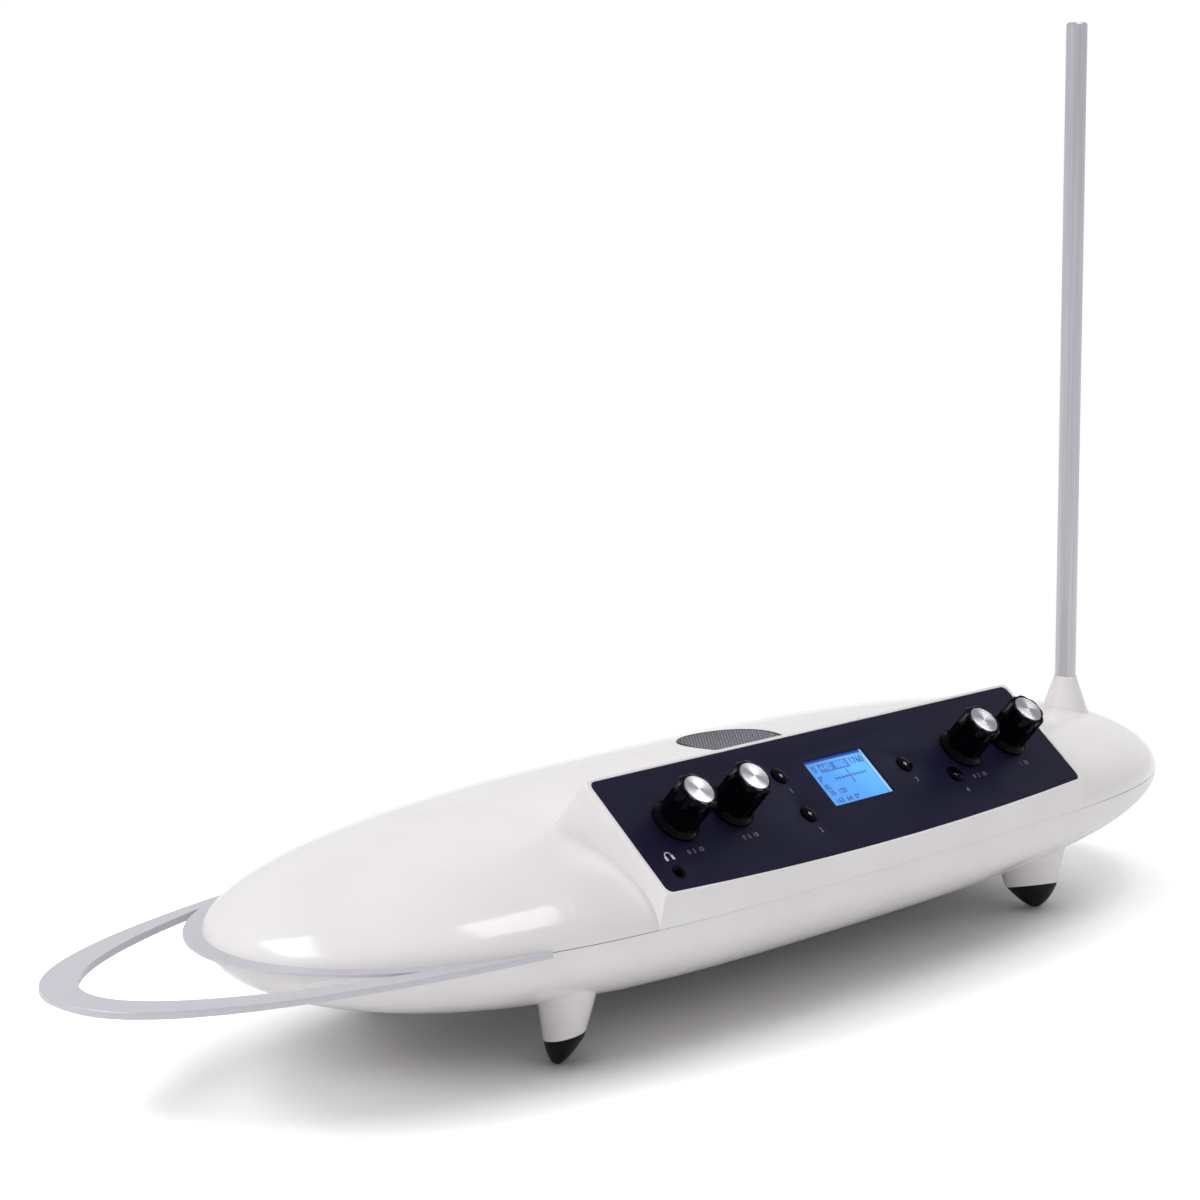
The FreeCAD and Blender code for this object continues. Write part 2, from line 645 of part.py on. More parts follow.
def antenna_socket():
    insert = cyl(SOCKET_RADIUS, CONE_TOP_Z - SOCKET_LENGTH, CONE_TOP_Z, ROD_X, ROD_Y)
    return insert.cut(cyl(STUD_RADIUS + FIT, CONE_TOP_Z - STUD_LENGTH - SEAT_GAP, CONE_TOP_Z, ROD_X, ROD_Y))


def antenna_contact():
    top = CONE_TOP_Z - SOCKET_LENGTH
    half = STRIP_WIDTH / 2
    return box(ROD_X - STRIP_LENGTH, ROD_X + SOCKET_RADIUS, ROD_Y - half, ROD_Y + half,
               top - STRIP_THICKNESS, top)


def volume_contact():
    x, y = LOOP_SCREWS[2]
    top = SEAM_Z + PLATE_RISE + STRIP_THICKNESS
    half = STRIP_WIDTH / 2
    strip = box(x - half, x + half, y - STRIP_LENGTH, y + half, top - STRIP_THICKNESS, top)
    return strip.cut(cyl(SCREW_RADIUS + PANEL_GAP, 0, 2 * SEAM_Z, x, y))


def screw(x, y, seat_z, length, size, side=1):
    """Pan-head screw: its head stands on seat_z, above it (side 1) or below it (side -1)."""
    radius, head_radius, head = size
    crown = sorted([seat_z, seat_z + side * head])
    shank = sorted([seat_z - side * length, seat_z])
    return fuse([cyl(head_radius, crown[0], crown[1], x, y), cyl(radius, shank[0], shank[1], x, y)])


def volume_antenna_screws():
    top = SEAM_Z + PLATE_RISE
    heights = [top, top, top + STRIP_THICKNESS]
    return Part.makeCompound([screw(x, y, z, z - top + LOOP_SCREW_LENGTH, SMALL_SCREW)
                              for (x, y), z in zip(LOOP_SCREWS, heights)])


# ---------------------------------------------------------------- panel and controls
def dishes():
    """Countersinks in the panel's face round the buttons and the headphone socket."""
    rims = [(place, BUTTON_RADIUS + BUTTON_CLEARANCE) for place in button_places()]
    rims.append((PHONES_AT, COLLAR_RADIUS + PANEL_GAP))
    return [cone(radius, radius + DISH_WIDTH, -DISH_DEPTH, 0, u, -v) for (u, v), radius in rims]


def front_panel():
    """Thin plate with a bevelled face that lies in the housing's recess."""
    slab = panel_slab(-PANEL_GAP, -PANEL_THICKNESS, 0)
    slab = slab.makeChamfer(PANEL_EDGE, [e for e in slab.Edges if e.BoundBox.ZMin > -SMALL])
    holes = control_holes(-2 * PANEL_THICKNESS, PANEL_THICKNESS, False)
    return on_panel(slab.cut(dishes() + [holes]))


def display_window():
    width, height = window_size(0)
    top = -PANEL_THICKNESS
    return on_panel(slab_at(width, height, DISPLAY_DROP, top - WINDOW_THICKNESS, top))


def display_module():
    width, height = window_size(0)
    under = -PANEL_THICKNESS - DECK
    face = slab_at(width, height, DISPLAY_DROP, under, -PANEL_THICKNESS - WINDOW_THICKNESS)
    back = slab_at(MODULE_WIDTH, MODULE_HEIGHT, DISPLAY_DROP, under - MODULE_DEPTH, under)
    return on_panel(fuse([back, face]))


def knob_turning():
    """Knob before its flutes: skirt, tapered grip, seat for the cap and bore for the shaft."""
    low, high = KNOB_LIFT, KNOB_HEIGHT
    roof = SHAFT_TOP + FIT
    seat = high - CAP_THICKNESS
    nook = BUSHING_TOP + KNOB_LIFT
    skirt = low + SKIRT_THICKNESS
    return turned([(0, roof), (SHAFT_RADIUS + PRESS, roof), (SHAFT_RADIUS + PRESS, nook), (KNOB_NOOK, nook),
                   (KNOB_NOOK, low), (SKIRT_RADIUS, low), (SKIRT_RADIUS, skirt - KNOB_BEVEL),
                   (SKIRT_RADIUS - KNOB_BEVEL, skirt), (KNOB_FOOT_RADIUS, skirt),
                   (KNOB_TOP_RADIUS, high - KNOB_BEVEL), (KNOB_TOP_RADIUS - KNOB_BEVEL, high),
                   (CAP_RADIUS + PRESS, high), (CAP_RADIUS + PRESS, seat), (0, seat)])


def flute_cutters():
    """Leaning cylinders round the grip that leave the flutes and run out above the skirt."""
    skirt = KNOB_LIFT + SKIRT_THICKNESS
    lean = math.degrees(math.atan((KNOB_FOOT_RADIUS - KNOB_TOP_RADIUS) / (KNOB_HEIGHT - skirt)))
    cutters = []
    for i in range(FLUTES):
        cutter = cyl(FLUTE_RADIUS, skirt + KNOB_BEVEL - KNOB_HEIGHT, KNOB_HEIGHT)
        cutter.rotate(V(0, 0, 0), V(0, 1, 0), -lean)
        cutter.translate(V(KNOB_TOP_RADIUS - FLUTE_DEPTH + FLUTE_RADIUS, 0, KNOB_HEIGHT))
        cutter.rotate(V(0, 0, 0), V(0, 0, 1), 360.0 * (i + 0.5) / FLUTES)
        cutters.append(cutter)
    return cutters


def knob(across):
    body = knob_turning().cut(flute_cutters())
    body.translate(V(across, -KNOB_DROP, 0))
    return on_panel(body)


def knob_cap(across):
    low, high = KNOB_HEIGHT - CAP_THICKNESS, KNOB_HEIGHT + KNOB_CAP_PROUD
    return on_panel(cyl(CAP_RADIUS, low, high, across, -KNOB_DROP))


def pot(across):
    under = -PANEL_THICKNESS - DECK
    body = slab_at(POT_SIZE, POT_SIZE, KNOB_DROP, under - POT_DEPTH, under, across)
    bushing = cyl(BUSHING_RADIUS, under, BUSHING_TOP, across, -KNOB_DROP)
    bore = cyl(SHAFT_RADIUS + FIT, under - POT_DEPTH + WALL, BUSHING_TOP, across, -KNOB_DROP)
    return on_panel(fuse([body, bushing]).cut(bore))


def pot_shaft(across):
    low = -PANEL_THICKNESS - DECK - POT_DEPTH + WALL + SEAT_GAP
    return on_panel(cyl(SHAFT_RADIUS, low, SHAFT_TOP, across, -KNOB_DROP))


def pot_nuts():
    nuts = []
    for u, v in knob_places():
        thread = cyl(BUSHING_RADIUS + PRESS, 0, NUT_THICKNESS, u, -v)
        nuts.append(hexagon(NUT_FLATS, 0, NUT_THICKNESS, u, -v).cut(thread))
    return on_panel(Part.makeCompound(nuts))


def button(place):
    """Round cap with a domed top, held from behind by its flange, pressing on a switch through its stem."""
    across, drop = place
    under = -PANEL_THICKNESS - DECK
    plunger = under - POT_DEPTH + SWITCH_HEIGHT + PLUNGER_HEIGHT
    stem_end = plunger + BUTTON_TRAVEL + STOP_GAP
    shelf = under - STOP_GAP
    over = BUTTON_PROUD + BUTTON_CROWN
    cap = turned([(0, stem_end), (PLUNGER_RADIUS, stem_end), (PLUNGER_RADIUS, shelf - BUTTON_SHELF),
                  (BUTTON_FLANGE, shelf - BUTTON_SHELF), (BUTTON_FLANGE, shelf), (BUTTON_RADIUS, shelf),
                  (BUTTON_RADIUS, over), (0, over)], across, -drop)
    ball = (BUTTON_RADIUS ** 2 + BUTTON_CROWN ** 2) / (2 * BUTTON_CROWN)
    return on_panel(cap.common(Part.makeSphere(ball, V(across, -drop, BUTTON_PROUD - ball))))


def tact_switches():
    board = -PANEL_THICKNESS - DECK - POT_DEPTH
    body_top = board + SWITCH_HEIGHT
    switches = []
    for u, v in button_places():
        plunger = cyl(PLUNGER_RADIUS, body_top, body_top + PLUNGER_HEIGHT, u, -v)
        switches.append(fuse([slab_at(SWITCH_SIZE, SWITCH_SIZE, v, board, body_top, u), plunger]))
    return on_panel(Part.makeCompound(switches))


def headphone_jack():
    across, drop = PHONES_AT
    under = -PANEL_THICKNESS - DECK
    mouth = -PHONES_SUNK
    body = slab_at(PHONES_BODY, PHONES_BODY, drop, under - PHONES_DEPTH, under, across)
    collar = cyl(COLLAR_RADIUS, under, mouth, across, -drop)
    bore = cyl(PHONES_BORE, under - PHONES_DEPTH + WALL, mouth, across, -drop)
    lead = cone(PHONES_BORE, PHONES_BORE + PHONES_LEAD, mouth - PHONES_LEAD, mouth, across, -drop)
    return on_panel(fuse([body, collar]).cut([bore, lead]))


def control_board():
    top = -PANEL_THICKNESS - DECK - POT_DEPTH
    board = box(-CONTROL_BOARD_HALF, CONTROL_BOARD_HALF, -CONTROL_BOARD_BOTTOM, -CONTROL_BOARD_TOP,
                top - BOARD_THICKNESS, top)
    return on_panel(board.cut([cyl(SCREW_RADIUS + PANEL_GAP, top - 2 * BOARD_THICKNESS, top, u, -v)
                               for u, v in CONTROL_POSTS]))


def control_board_screws():
    seat = -PANEL_THICKNESS - DECK - POT_DEPTH - BOARD_THICKNESS
    return on_panel(Part.makeCompound([screw(u, -v, seat, SCREW_LENGTH, SMALL_SCREW, -1)
                                       for u, v in CONTROL_POSTS]))


# ---------------------------------------------------------------- speaker
def grille_holes():
    """Square holes on a square grid, as many as lie wholly inside the grille's plain rim."""
    side = (GRILLE_PITCH - GRILLE_BAR) / 2
    limit = GRILLE_RADIUS - GRILLE_RIM
    count = int(limit / GRILLE_PITCH)
    steps = [i * GRILLE_PITCH for i in range(-count, count + 1)]
    return [box(GRILLE_X + x - side, GRILLE_X + x + side, GRILLE_Y + y - side, GRILLE_Y + y + side,
                SPEAKER_SEAT_Z, PANEL_TOP_Z)
            for x in steps for y in steps if math.hypot(abs(x) + side, abs(y) + side) < limit]


def speaker_grille():
    """Perforated disc that follows the dome."""
    disc = cyl(GRILLE_RADIUS, SPEAKER_SEAT_Z, PANEL_TOP_Z, GRILLE_X, GRILLE_Y)
    skin = dome(0).common(disc).cut(lowered_dome())
    return skin.cut(Part.makeCompound(grille_holes()))


def speaker_basket():
    top = SPEAKER_SEAT_Z
    low = top - BASKET_DEPTH
    flange = top - SPEAKER_FLANGE_THICKNESS
    skin = SPEAKER_FLANGE_THICKNESS
    return turned([(SPEAKER_OPENING - skin, top), (SPEAKER_FLANGE, top), (SPEAKER_FLANGE, flange),
                   (SPEAKER_OPENING, flange), (MAGNET_RADIUS, low), (VOICE_RADIUS, low),
                   (VOICE_RADIUS, low + skin), (MAGNET_RADIUS - skin, low + skin)], GRILLE_X, GRILLE_Y)


def speaker_cone():
    rim = SPEAKER_OPENING - SPEAKER_FLANGE_THICKNESS - CONE_CLEARANCE
    top = SPEAKER_SEAT_Z
    low = top - CONE_DEPTH
    return turned([(0, low), (DUST_CAP_RADIUS, low), (rim, top - CONE_SHEET), (rim, top),
                   (rim - CONE_SHEET, top), (DUST_CAP_RADIUS, low + CONE_SHEET),
                   (0, low + CONE_SHEET + DUST_CAP_RISE)], GRILLE_X, GRILLE_Y)


def speaker_magnet():
    top = SPEAKER_SEAT_Z - BASKET_DEPTH
    return cyl(MAGNET_RADIUS, top - MAGNET_DEPTH, top, GRILLE_X, GRILLE_Y)


# ---------------------------------------------------------------- rear connectors
def rear_holes(low, high):
    tools = [cyl(JACK_BUSHING + PANEL_GAP, low, high, x) for x in JACKS_X]
    tools.append(cyl(INLET_COLLAR + PANEL_GAP, low, high, INLET_X))
    tools.append(cyl(POWER_RADIUS + BUTTON_CLEARANCE, low, high, POWER_X))
    tools.append(data_block(DATA_WIDTH + 2 * PANEL_GAP, DATA_HEIGHT + 2 * PANEL_GAP, low, high))
    return on_rear(Part.makeCompound(tools))


def rear_panel():
    plate = box(-BAY_HALF_WIDTH + PANEL_GAP, BAY_HALF_WIDTH - PANEL_GAP, BAY_Y, BAY_Y + REAR_PLATE,
                BAY_FLOOR_Z + PANEL_GAP, BAY_CEILING_Z - PANEL_GAP)
    return plate.cut(rear_holes(-FIT, REAR_PLATE + FIT))


def output_jack(x):
    half = JACK_BODY / 2
    body = box(x - half, x + half, -half, half, -WALL - JACK_DEPTH, -WALL)
    bushing = cyl(JACK_BUSHING, -WALL, REAR_PLATE + JACK_PROUD, x)
    bore = cyl(JACK_BORE, -JACK_DEPTH, REAR_PLATE + JACK_PROUD, x)
    return on_rear(fuse([body, bushing]).cut(bore))


def jack_nuts():
    nuts = []
    for x in JACKS_X:
        thread = cyl(JACK_BUSHING + PRESS, 0, REAR_PLATE + JACK_PROUD, x)
        nuts.append(hexagon(JACK_NUT_FLATS, REAR_PLATE, REAR_PLATE + JACK_NUT, x).cut(thread))
    return on_rear(Part.makeCompound(nuts))


def supply_inlet():
    half = INLET_BODY / 2
    body = box(INLET_X - half, INLET_X + half, -half, half, -WALL - INLET_DEPTH, -WALL)
    collar = cyl(INLET_COLLAR, -WALL, REAR_PLATE, INLET_X)
    bore = cyl(INLET_BORE, WALL - INLET_DEPTH, REAR_PLATE, INLET_X)
    pin = cyl(INLET_PIN, -INLET_DEPTH, 0, INLET_X)
    return on_rear(fuse([fuse([body, collar]).cut(bore), pin]))


def data_block(width, height, low, high):
    return box(DATA_X - width / 2, DATA_X + width / 2, -height / 2, height / 2, low, high)


def data_socket():
    body = data_block(DATA_WIDTH, DATA_HEIGHT, -WALL - DATA_DEPTH, REAR_PLATE)
    mouth = data_block(DATA_WIDTH - 2 * DATA_WALL, DATA_HEIGHT - 2 * DATA_WALL, WALL - DATA_DEPTH, REAR_PLATE)
    tongue = data_block(TONGUE_WIDTH, TONGUE_HEIGHT, -DATA_DEPTH, -DATA_WALL)
    return on_rear(fuse([body.cut(mouth), tongue]))


def power_button():
    shelf = -WALL - SEAT_GAP
    flange = POWER_RADIUS + BUTTON_SHELF
    top = REAR_PLATE + POWER_PROUD
    return on_rear(turned([(0, shelf - BUTTON_SHELF), (flange, shelf - BUTTON_SHELF), (flange, shelf),
                           (POWER_RADIUS, shelf), (POWER_RADIUS, top - KNOB_BEVEL),
                           (POWER_RADIUS - KNOB_BEVEL, top), (0, top)], POWER_X))


def power_switch():
    """Switch body on the shell's rear wall; the button's shelf travels in its open front."""
    bore = POWER_RADIUS + BUTTON_SHELF + BUTTON_CLEARANCE
    half = bore + POWER_WALL
    room = POWER_TRAVEL + BUTTON_SHELF + SEAT_GAP + STOP_GAP
    body = box(POWER_X - half, POWER_X + half, -half, half, -WALL - room - POWER_BODY, -WALL)
    return on_rear(body.cut(cyl(bore, -WALL - room, -WALL, POWER_X)))


# ---------------------------------------------------------------- inside the belly
def main_board():
    long_half, short_half = MAIN_BOARD_HALF_LENGTH, MAIN_BOARD_HALF_WIDTH
    board = box(-long_half, long_half, -short_half, short_half, MAIN_BOARD_Z, MAIN_BOARD_Z + BOARD_THICKNESS)
    return board.cut([cyl(SCREW_RADIUS + PANEL_GAP, 0, SEAM_Z, x, y) for x, y in MAIN_POSTS])


def main_board_screws():
    seat = MAIN_BOARD_Z + BOARD_THICKNESS
    return Part.makeCompound([screw(x, y, seat, SCREW_LENGTH, SMALL_SCREW) for x, y in MAIN_POSTS])


def case_screws():
    length = CASE_SCREW_TOP_Z - CASE_SEAT_Z
    return Part.makeCompound([screw(x, y, CASE_SEAT_Z, length, CASE_SCREW, -1) for x, y in CASE_SCREWS])


def stand_insert():
    top = STAND_INSERT_Z + STAND_INSERT_LENGTH
    return cyl(STAND_INSERT_RADIUS, STAND_INSERT_Z, top).cut(cyl(STAND_BORE, 0, SEAM_Z))


# ---------------------------------------------------------------- all pieces
def build():
    nodes = {
        "upper_shell": upper_shell(),
        "lower_shell": lower_shell(),
        "volume_antenna": volume_antenna(),
        "volume_antenna_screws": volume_antenna_screws(),
        "volume_contact": volume_contact(),
        "pitch_antenna": pitch_antenna(),
        "antenna_socket": antenna_socket(),
        "antenna_contact": antenna_contact(),
        "front_panel": front_panel(),
        "display_window": display_window(),
        "display_module": display_module(),
        "pot_nuts": pot_nuts(),
        "tact_switches": tact_switches(),
        "headphone_jack": headphone_jack(),
        "control_board": control_board(),
        "control_board_screws": control_board_screws(),
        "speaker_grille": speaker_grille(),
        "speaker_basket": speaker_basket(),
        "speaker_cone": speaker_cone(),
        "speaker_magnet": speaker_magnet(),
        "rear_panel": rear_panel(),
        "jack_nuts": jack_nuts(),
        "supply_inlet": supply_inlet(),
        "data_socket": data_socket(),
        "power_button": power_button(),
        "power_switch": power_switch(),
        "main_board": main_board(),
        "main_board_screws": main_board_screws(),
        "case_screws": case_screws(),
        "stand_insert": stand_insert(),
    }
    for name, across in (("volume", -KNOB_OUTER), ("pitch_correction", -KNOB_INNER), ("amount", KNOB_INNER),
                         ("presets", KNOB_OUTER)):
        nodes[name + "_knob"] = knob(across)
        nodes[name + "_knob_cap"] = knob_cap(across)
        nodes[name + "_shaft"] = pot_shaft(across)
        nodes[name + ("_encoder" if name == "presets" else "_pot")] = pot(across)
    for name, place in (("scale", SCALE_AT), ("root", ROOT_AT), ("setup", SETUP_AT), ("effect", EFFECT_AT)):
        nodes[name + "_button"] = button(place)
    for name, (x, y) in zip(("front_left", "front_right", "rear_left", "rear_right"), leg_places()):
        nodes["foot_tip_" + name] = foot_tip(x, y)
    for name, x in zip(("left_output", "right_output", "pitch_output"), JACKS_X):
        nodes[name + "_jack"] = output_jack(x)
    return nodes


os.makedirs("parts", exist_ok=True)
for node, shape in build().items():
    shape.translate(V(BODY_X, BODY_Y, 0))
    shape.exportStep("parts/" + node + ".step")
    print(node, len(shape.Solids), shape.isValid(), round(shape.Volume, 1))
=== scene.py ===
# %% [markdown]
# # A tabletop theremin
# The instrument is a long pebble of glossy white plastic on four short legs. A flat silver loop
# stands out of its left end and a thin metal rod stands on its right end: the hands play near
# them, without touching. The construction comes from a solid model, and this lesson gives it
# its finish: smooth surfaces, real materials, a lit display, printed marks and soft light.

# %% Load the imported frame
import json
import math

import bmesh
import bpy
import numpy as np
from mathutils import Matrix, Vector

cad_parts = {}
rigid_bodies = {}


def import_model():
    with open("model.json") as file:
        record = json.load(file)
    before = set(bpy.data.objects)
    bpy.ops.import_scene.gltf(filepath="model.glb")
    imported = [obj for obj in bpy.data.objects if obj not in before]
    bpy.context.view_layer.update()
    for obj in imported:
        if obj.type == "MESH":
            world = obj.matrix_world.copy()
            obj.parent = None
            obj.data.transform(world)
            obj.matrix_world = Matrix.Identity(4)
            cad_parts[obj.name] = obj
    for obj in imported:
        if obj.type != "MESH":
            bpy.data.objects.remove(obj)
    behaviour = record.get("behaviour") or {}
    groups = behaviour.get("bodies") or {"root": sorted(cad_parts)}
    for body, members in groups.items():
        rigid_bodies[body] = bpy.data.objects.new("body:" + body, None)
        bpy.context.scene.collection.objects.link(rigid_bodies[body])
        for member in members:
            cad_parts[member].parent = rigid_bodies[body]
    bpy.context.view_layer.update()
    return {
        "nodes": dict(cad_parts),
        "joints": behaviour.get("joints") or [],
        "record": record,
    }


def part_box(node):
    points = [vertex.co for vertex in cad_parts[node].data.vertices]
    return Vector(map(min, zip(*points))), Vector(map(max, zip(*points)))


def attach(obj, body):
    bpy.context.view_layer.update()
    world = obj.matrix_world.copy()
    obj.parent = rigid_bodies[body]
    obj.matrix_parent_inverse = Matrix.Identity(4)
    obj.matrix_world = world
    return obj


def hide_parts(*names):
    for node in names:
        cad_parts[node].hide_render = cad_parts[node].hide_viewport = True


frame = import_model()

MM = 0.001

# %% [markdown]
# The control panel slopes towards the player, so everything on it is placed in the panel's own
# directions: across, down the slope, and out of the surface. The knobs' joints already know the
# direction out of the surface, and the panel's own corners give the other two. Reading them from
# the model means that nothing has to be fitted by eye later.

# %% Directions and corners of the control panel


def joint(name):
    return next(entry for entry in frame["joints"] if entry["name"] == name)


OUT = Vector(joint("volume_turn")["axis"]).normalized()
ACROSS = Vector((1, 0, 0))
UP_SLOPE = OUT.cross(ACROSS)
PANEL_AXES = Matrix((ACROSS, UP_SLOPE, OUT))


def extent(node):
    """Lowest and highest corner of a CAD piece, measured along the panel's own directions."""
    points = np.array([PANEL_AXES @ vertex.co for vertex in frame["nodes"][node].data.vertices])
    return Vector(points.min(0)), Vector(points.max(0))


def centre_of(node):
    """Middle of a CAD piece, across and up the panel."""
    low, high = extent(node)
    return (low.x + high.x) / 2, (low.y + high.y) / 2


PANEL_LOW, PANEL_HIGH = extent("front_panel")


def heights(node):
    """Lowest and highest point of a CAD piece over the panel's surface, in millimetres."""
    return [(corner.z - PANEL_HIGH.z) / MM for corner in extent(node)]


def panel_place(across, up, out=PANEL_HIGH.z):
    """Takes a piece built flat (x across, y up the slope, z out) to its place on the panel."""
    origin = PANEL_AXES.transposed() @ Vector((across, up, out))
    return Matrix.Translation(origin) @ PANEL_AXES.transposed().to_4x4()


print("panel", [round(value / MM, 1) for value in PANEL_HIGH - PANEL_LOW], "mm across, up and out")

# %% [markdown]
# Every finish below is a material made of nodes. Small helpers keep that short: one turns
# the usual six-figure colours into the linear values that the renderer adds up, and one adds a
# node with its settings and links. The others build on them: most surfaces need only a grain
# that moves colour, roughness and relief together, and one function makes those.

# %% Helpers for materials
FINISH = {}           # by material slot, or by a name of its own


def linear(code):
    """Linear colour from a six-figure sRGB code such as E6E3E4."""
    shares = [int(code[i:i + 2], 16) / 255 for i in (0, 2, 4)]
    return [s / 12.92 if s <= 0.04045 else ((s + 0.055) / 1.055) ** 2.4 for s in shares] + [1.0]


def add(tree, kind, inputs=None, **settings):
    """Adds one node. inputs maps a socket to a value, or to another node's output to link it.

    The kind of a shader node leaves out its first part, ShaderNode.
    """
    node = tree.nodes.new(kind if "Node" in kind else "ShaderNode" + kind)
    for name, value in settings.items():
        setattr(node, name, value)
    for socket, value in (inputs or {}).items():
        if isinstance(value, bpy.types.NodeSocket):
            tree.links.new(value, node.inputs[socket])
        else:
            node.inputs[socket].default_value = value
    return node


def reckon(tree, operation, *values):
    """A sum, product or the like of numbers and outputs, as one output."""
    return add(tree, "Math", dict(enumerate(values)), operation=operation).outputs["Value"]


def rescaled(tree, value, low, high, to_low, to_high, **settings):
    """The output that goes from to_low to to_high as value goes from low to high, and stays there."""
    node = add(tree, "MapRange", {"Value": value, "From Min": low, "From Max": high,
                                            "To Min": to_low, "To Max": to_high}, **settings)
    return node.outputs["Result"]


def blank_material(name):
    material = bpy.data.materials.new(name)
    material.use_nodes = True
    material.node_tree.nodes.clear()
    return material, material.node_tree


def start_material(name, **shader_inputs):
    """A material with only its main shader, whose constant values are given by name."""
    material, tree = blank_material(name)
    names = {key.replace("_", " "): value for key, value in shader_inputs.items()}
    shader = add(tree, "BsdfPrincipled", names)
    add(tree, "OutputMaterial", {"Surface": shader.outputs["BSDF"]})
    return material, tree, shader


def own_place(tree):
    """Where a point lies in the object's own coordinates."""
    return add(tree, "TexCoord").outputs["Object"]


def grain(tree, size_mm, detail, stretch=(1, 1, 1)):
    """Noise whose grains are size_mm across."""
    scaled = add(tree, "Mapping", {"Vector": own_place(tree), "Scale": stretch})
    noise = add(tree, "TexNoise", {"Vector": scaled.outputs["Vector"],
                                             "Scale": 1 / (size_mm * MM), "Detail": detail})
    return noise.outputs["Fac"]


def tint(tree, shader, factor, dark, light, low=0.3, high=0.7):
    """Base colour that wanders between two near shades as factor goes from low to high."""
    ramp = add(tree, "ValToRGB", {"Fac": factor})
    ramp.color_ramp.elements[0].position = low
    ramp.color_ramp.elements[0].color = linear(dark)
    ramp.color_ramp.elements[1].position = high
    ramp.color_ramp.elements[1].color = linear(light)
    tree.links.new(ramp.outputs["Color"], shader.inputs["Base Color"])


def vary_roughness(tree, shader, factor, smoothest, roughest):
    tree.links.new(rescaled(tree, factor, 0.0, 1.0, smoothest, roughest), shader.inputs["Roughness"])


def relief(tree, shader, factor, depth_mm):
    bump = add(tree, "Bump", {"Height": factor, "Distance": depth_mm * MM, "Strength": 1.0})
    tree.links.new(bump.outputs["Normal"], shader.inputs["Normal"])


def grained(name, size_mm, detail, shades, roughness, depth_mm=0.0, stretch=(1, 1, 1), **shader_inputs):
    """A material whose colour, roughness and relief all follow one grain."""
    material, tree, shader = start_material(name, **shader_inputs)
    factor = grain(tree, size_mm, detail, stretch)
    tint(tree, shader, factor, *shades)
    vary_roughness(tree, shader, factor, *roughness)
    if depth_mm:
        relief(tree, shader, factor, depth_mm)
    return material


# %% [markdown]
# The body is injection-moulded ABS, polished in the mould. Real mouldings are never quite one
# colour: the white wanders by a shade over a few centimetres, and the surface has a faint
# orange-peel ripple that shows only in the highlights. So the noise here is large and weak.
# The two shells meet in a hairline all round, and the shade in that gap is painted: the colour
# darkens within a fraction of a millimetre of the seam's height. Along the front wall this
# painted shade is made much fainter.

# %% White moulded body plastic
SEAM_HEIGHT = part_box("lower_shell")[1].z
HAIRLINE = 0.26       # half the width of the painted line of shade where the shells meet, in millimetres
HAIRLINE_CORE = 0.078 # and of its darkest middle
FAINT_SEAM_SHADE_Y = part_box("upper_shell")[0].y + 9 * MM    # in front of this the painted seam shade is faint
SEAM_SHADE_FADE = 6.0      # millimetres over which the painted seam shade fades
FAINT_SEAM_SHADE = 0.12     # how dark the faint painted seam shade is, against 1 for the rest


def moulded_abs():
    """Polished white ABS: clear reflections over a warm, slightly uneven white, with shade painted along the
    seam.
    """
    material, tree, shader = start_material("moulded_white_abs", IOR=1.54)
    tint(tree, shader, grain(tree, 45, 1.0), "E7E3E4", "EBE8E8")
    whites = shader.inputs["Base Color"].links[0].from_socket
    # Painted shade: the colour darkens towards 6E686B in a thin line at the seam's height, and only faintly
    # along the front wall.
    spot = add(tree, "SeparateXYZ", {"Vector": own_place(tree)})
    away = reckon(tree, "ABSOLUTE", reckon(tree, "SUBTRACT", spot.outputs["Z"], SEAM_HEIGHT))
    gap_shade = rescaled(tree, away, HAIRLINE_CORE * MM, HAIRLINE * MM, 1.0, 0.0)
    seam_shade_share = rescaled(tree, spot.outputs["Y"], FAINT_SEAM_SHADE_Y - SEAM_SHADE_FADE * MM, FAINT_SEAM_SHADE_Y, FAINT_SEAM_SHADE, 1.0)
    shown = reckon(tree, "MULTIPLY", gap_shade, seam_shade_share)
    painted_seam = add(tree, "MixRGB", {"Fac": shown, "Color1": whites, "Color2": linear("6E686B")})
    tree.links.new(painted_seam.outputs["Color"], shader.inputs["Base Color"])
    ripple = grain(tree, 6, 1.0)
    vary_roughness(tree, shader, ripple, 0.1, 0.15)
    relief(tree, shader, ripple, 0.002)
    return material


FINISH["shell"] = moulded_abs()

# %% [markdown]
# The loop carries a satin silver lacquer. Lacquer of this kind is clear resin full of tiny
# aluminium flakes, so it is only partly metallic and its grain is finer than a hair. The flakes
# are drawn coarser than they are, or they would vanish between the pixels.

# %% Silver lacquer and the metals


def spun_aluminium():
    """Face-turned aluminium: fine rings round the axis, which spread each highlight into a fan."""
    material, tree, shader = start_material("spun_aluminium", Metallic=1.0, Anisotropic=0.9,
                                            Anisotropic_Rotation=0.25)
    chart = add(tree, "UVMap", uv_map="rings")
    parts = add(tree, "SeparateXYZ", {"Vector": chart.outputs["UV"]})
    line = add(tree, "CombineXYZ", {"X": parts.outputs["Y"]})
    rings = add(tree, "TexNoise", {"Vector": line.outputs["Vector"], "Scale": 9.0, "Detail": 4.0})
    tint(tree, shader, rings.outputs["Fac"], "A0A0A8", "BEBEC4")
    vary_roughness(tree, shader, rings.outputs["Fac"], 0.2, 0.3)
    relief(tree, shader, rings.outputs["Fac"], 0.001)
    direction = add(tree, "Tangent", direction_type="UV_MAP", uv_map="rings")
    tree.links.new(direction.outputs["Tangent"], shader.inputs["Tangent"])
    return material


# Sprayed silver flake lacquer: soft broad sheen with a very fine sparkle.
FINISH["silver_paint"] = grained("silver_flake_lacquer", 0.5, 3.0, ("C6C4CC", "D0CFD6"), (0.34, 0.42),
                                 0.003, Metallic=0.35)
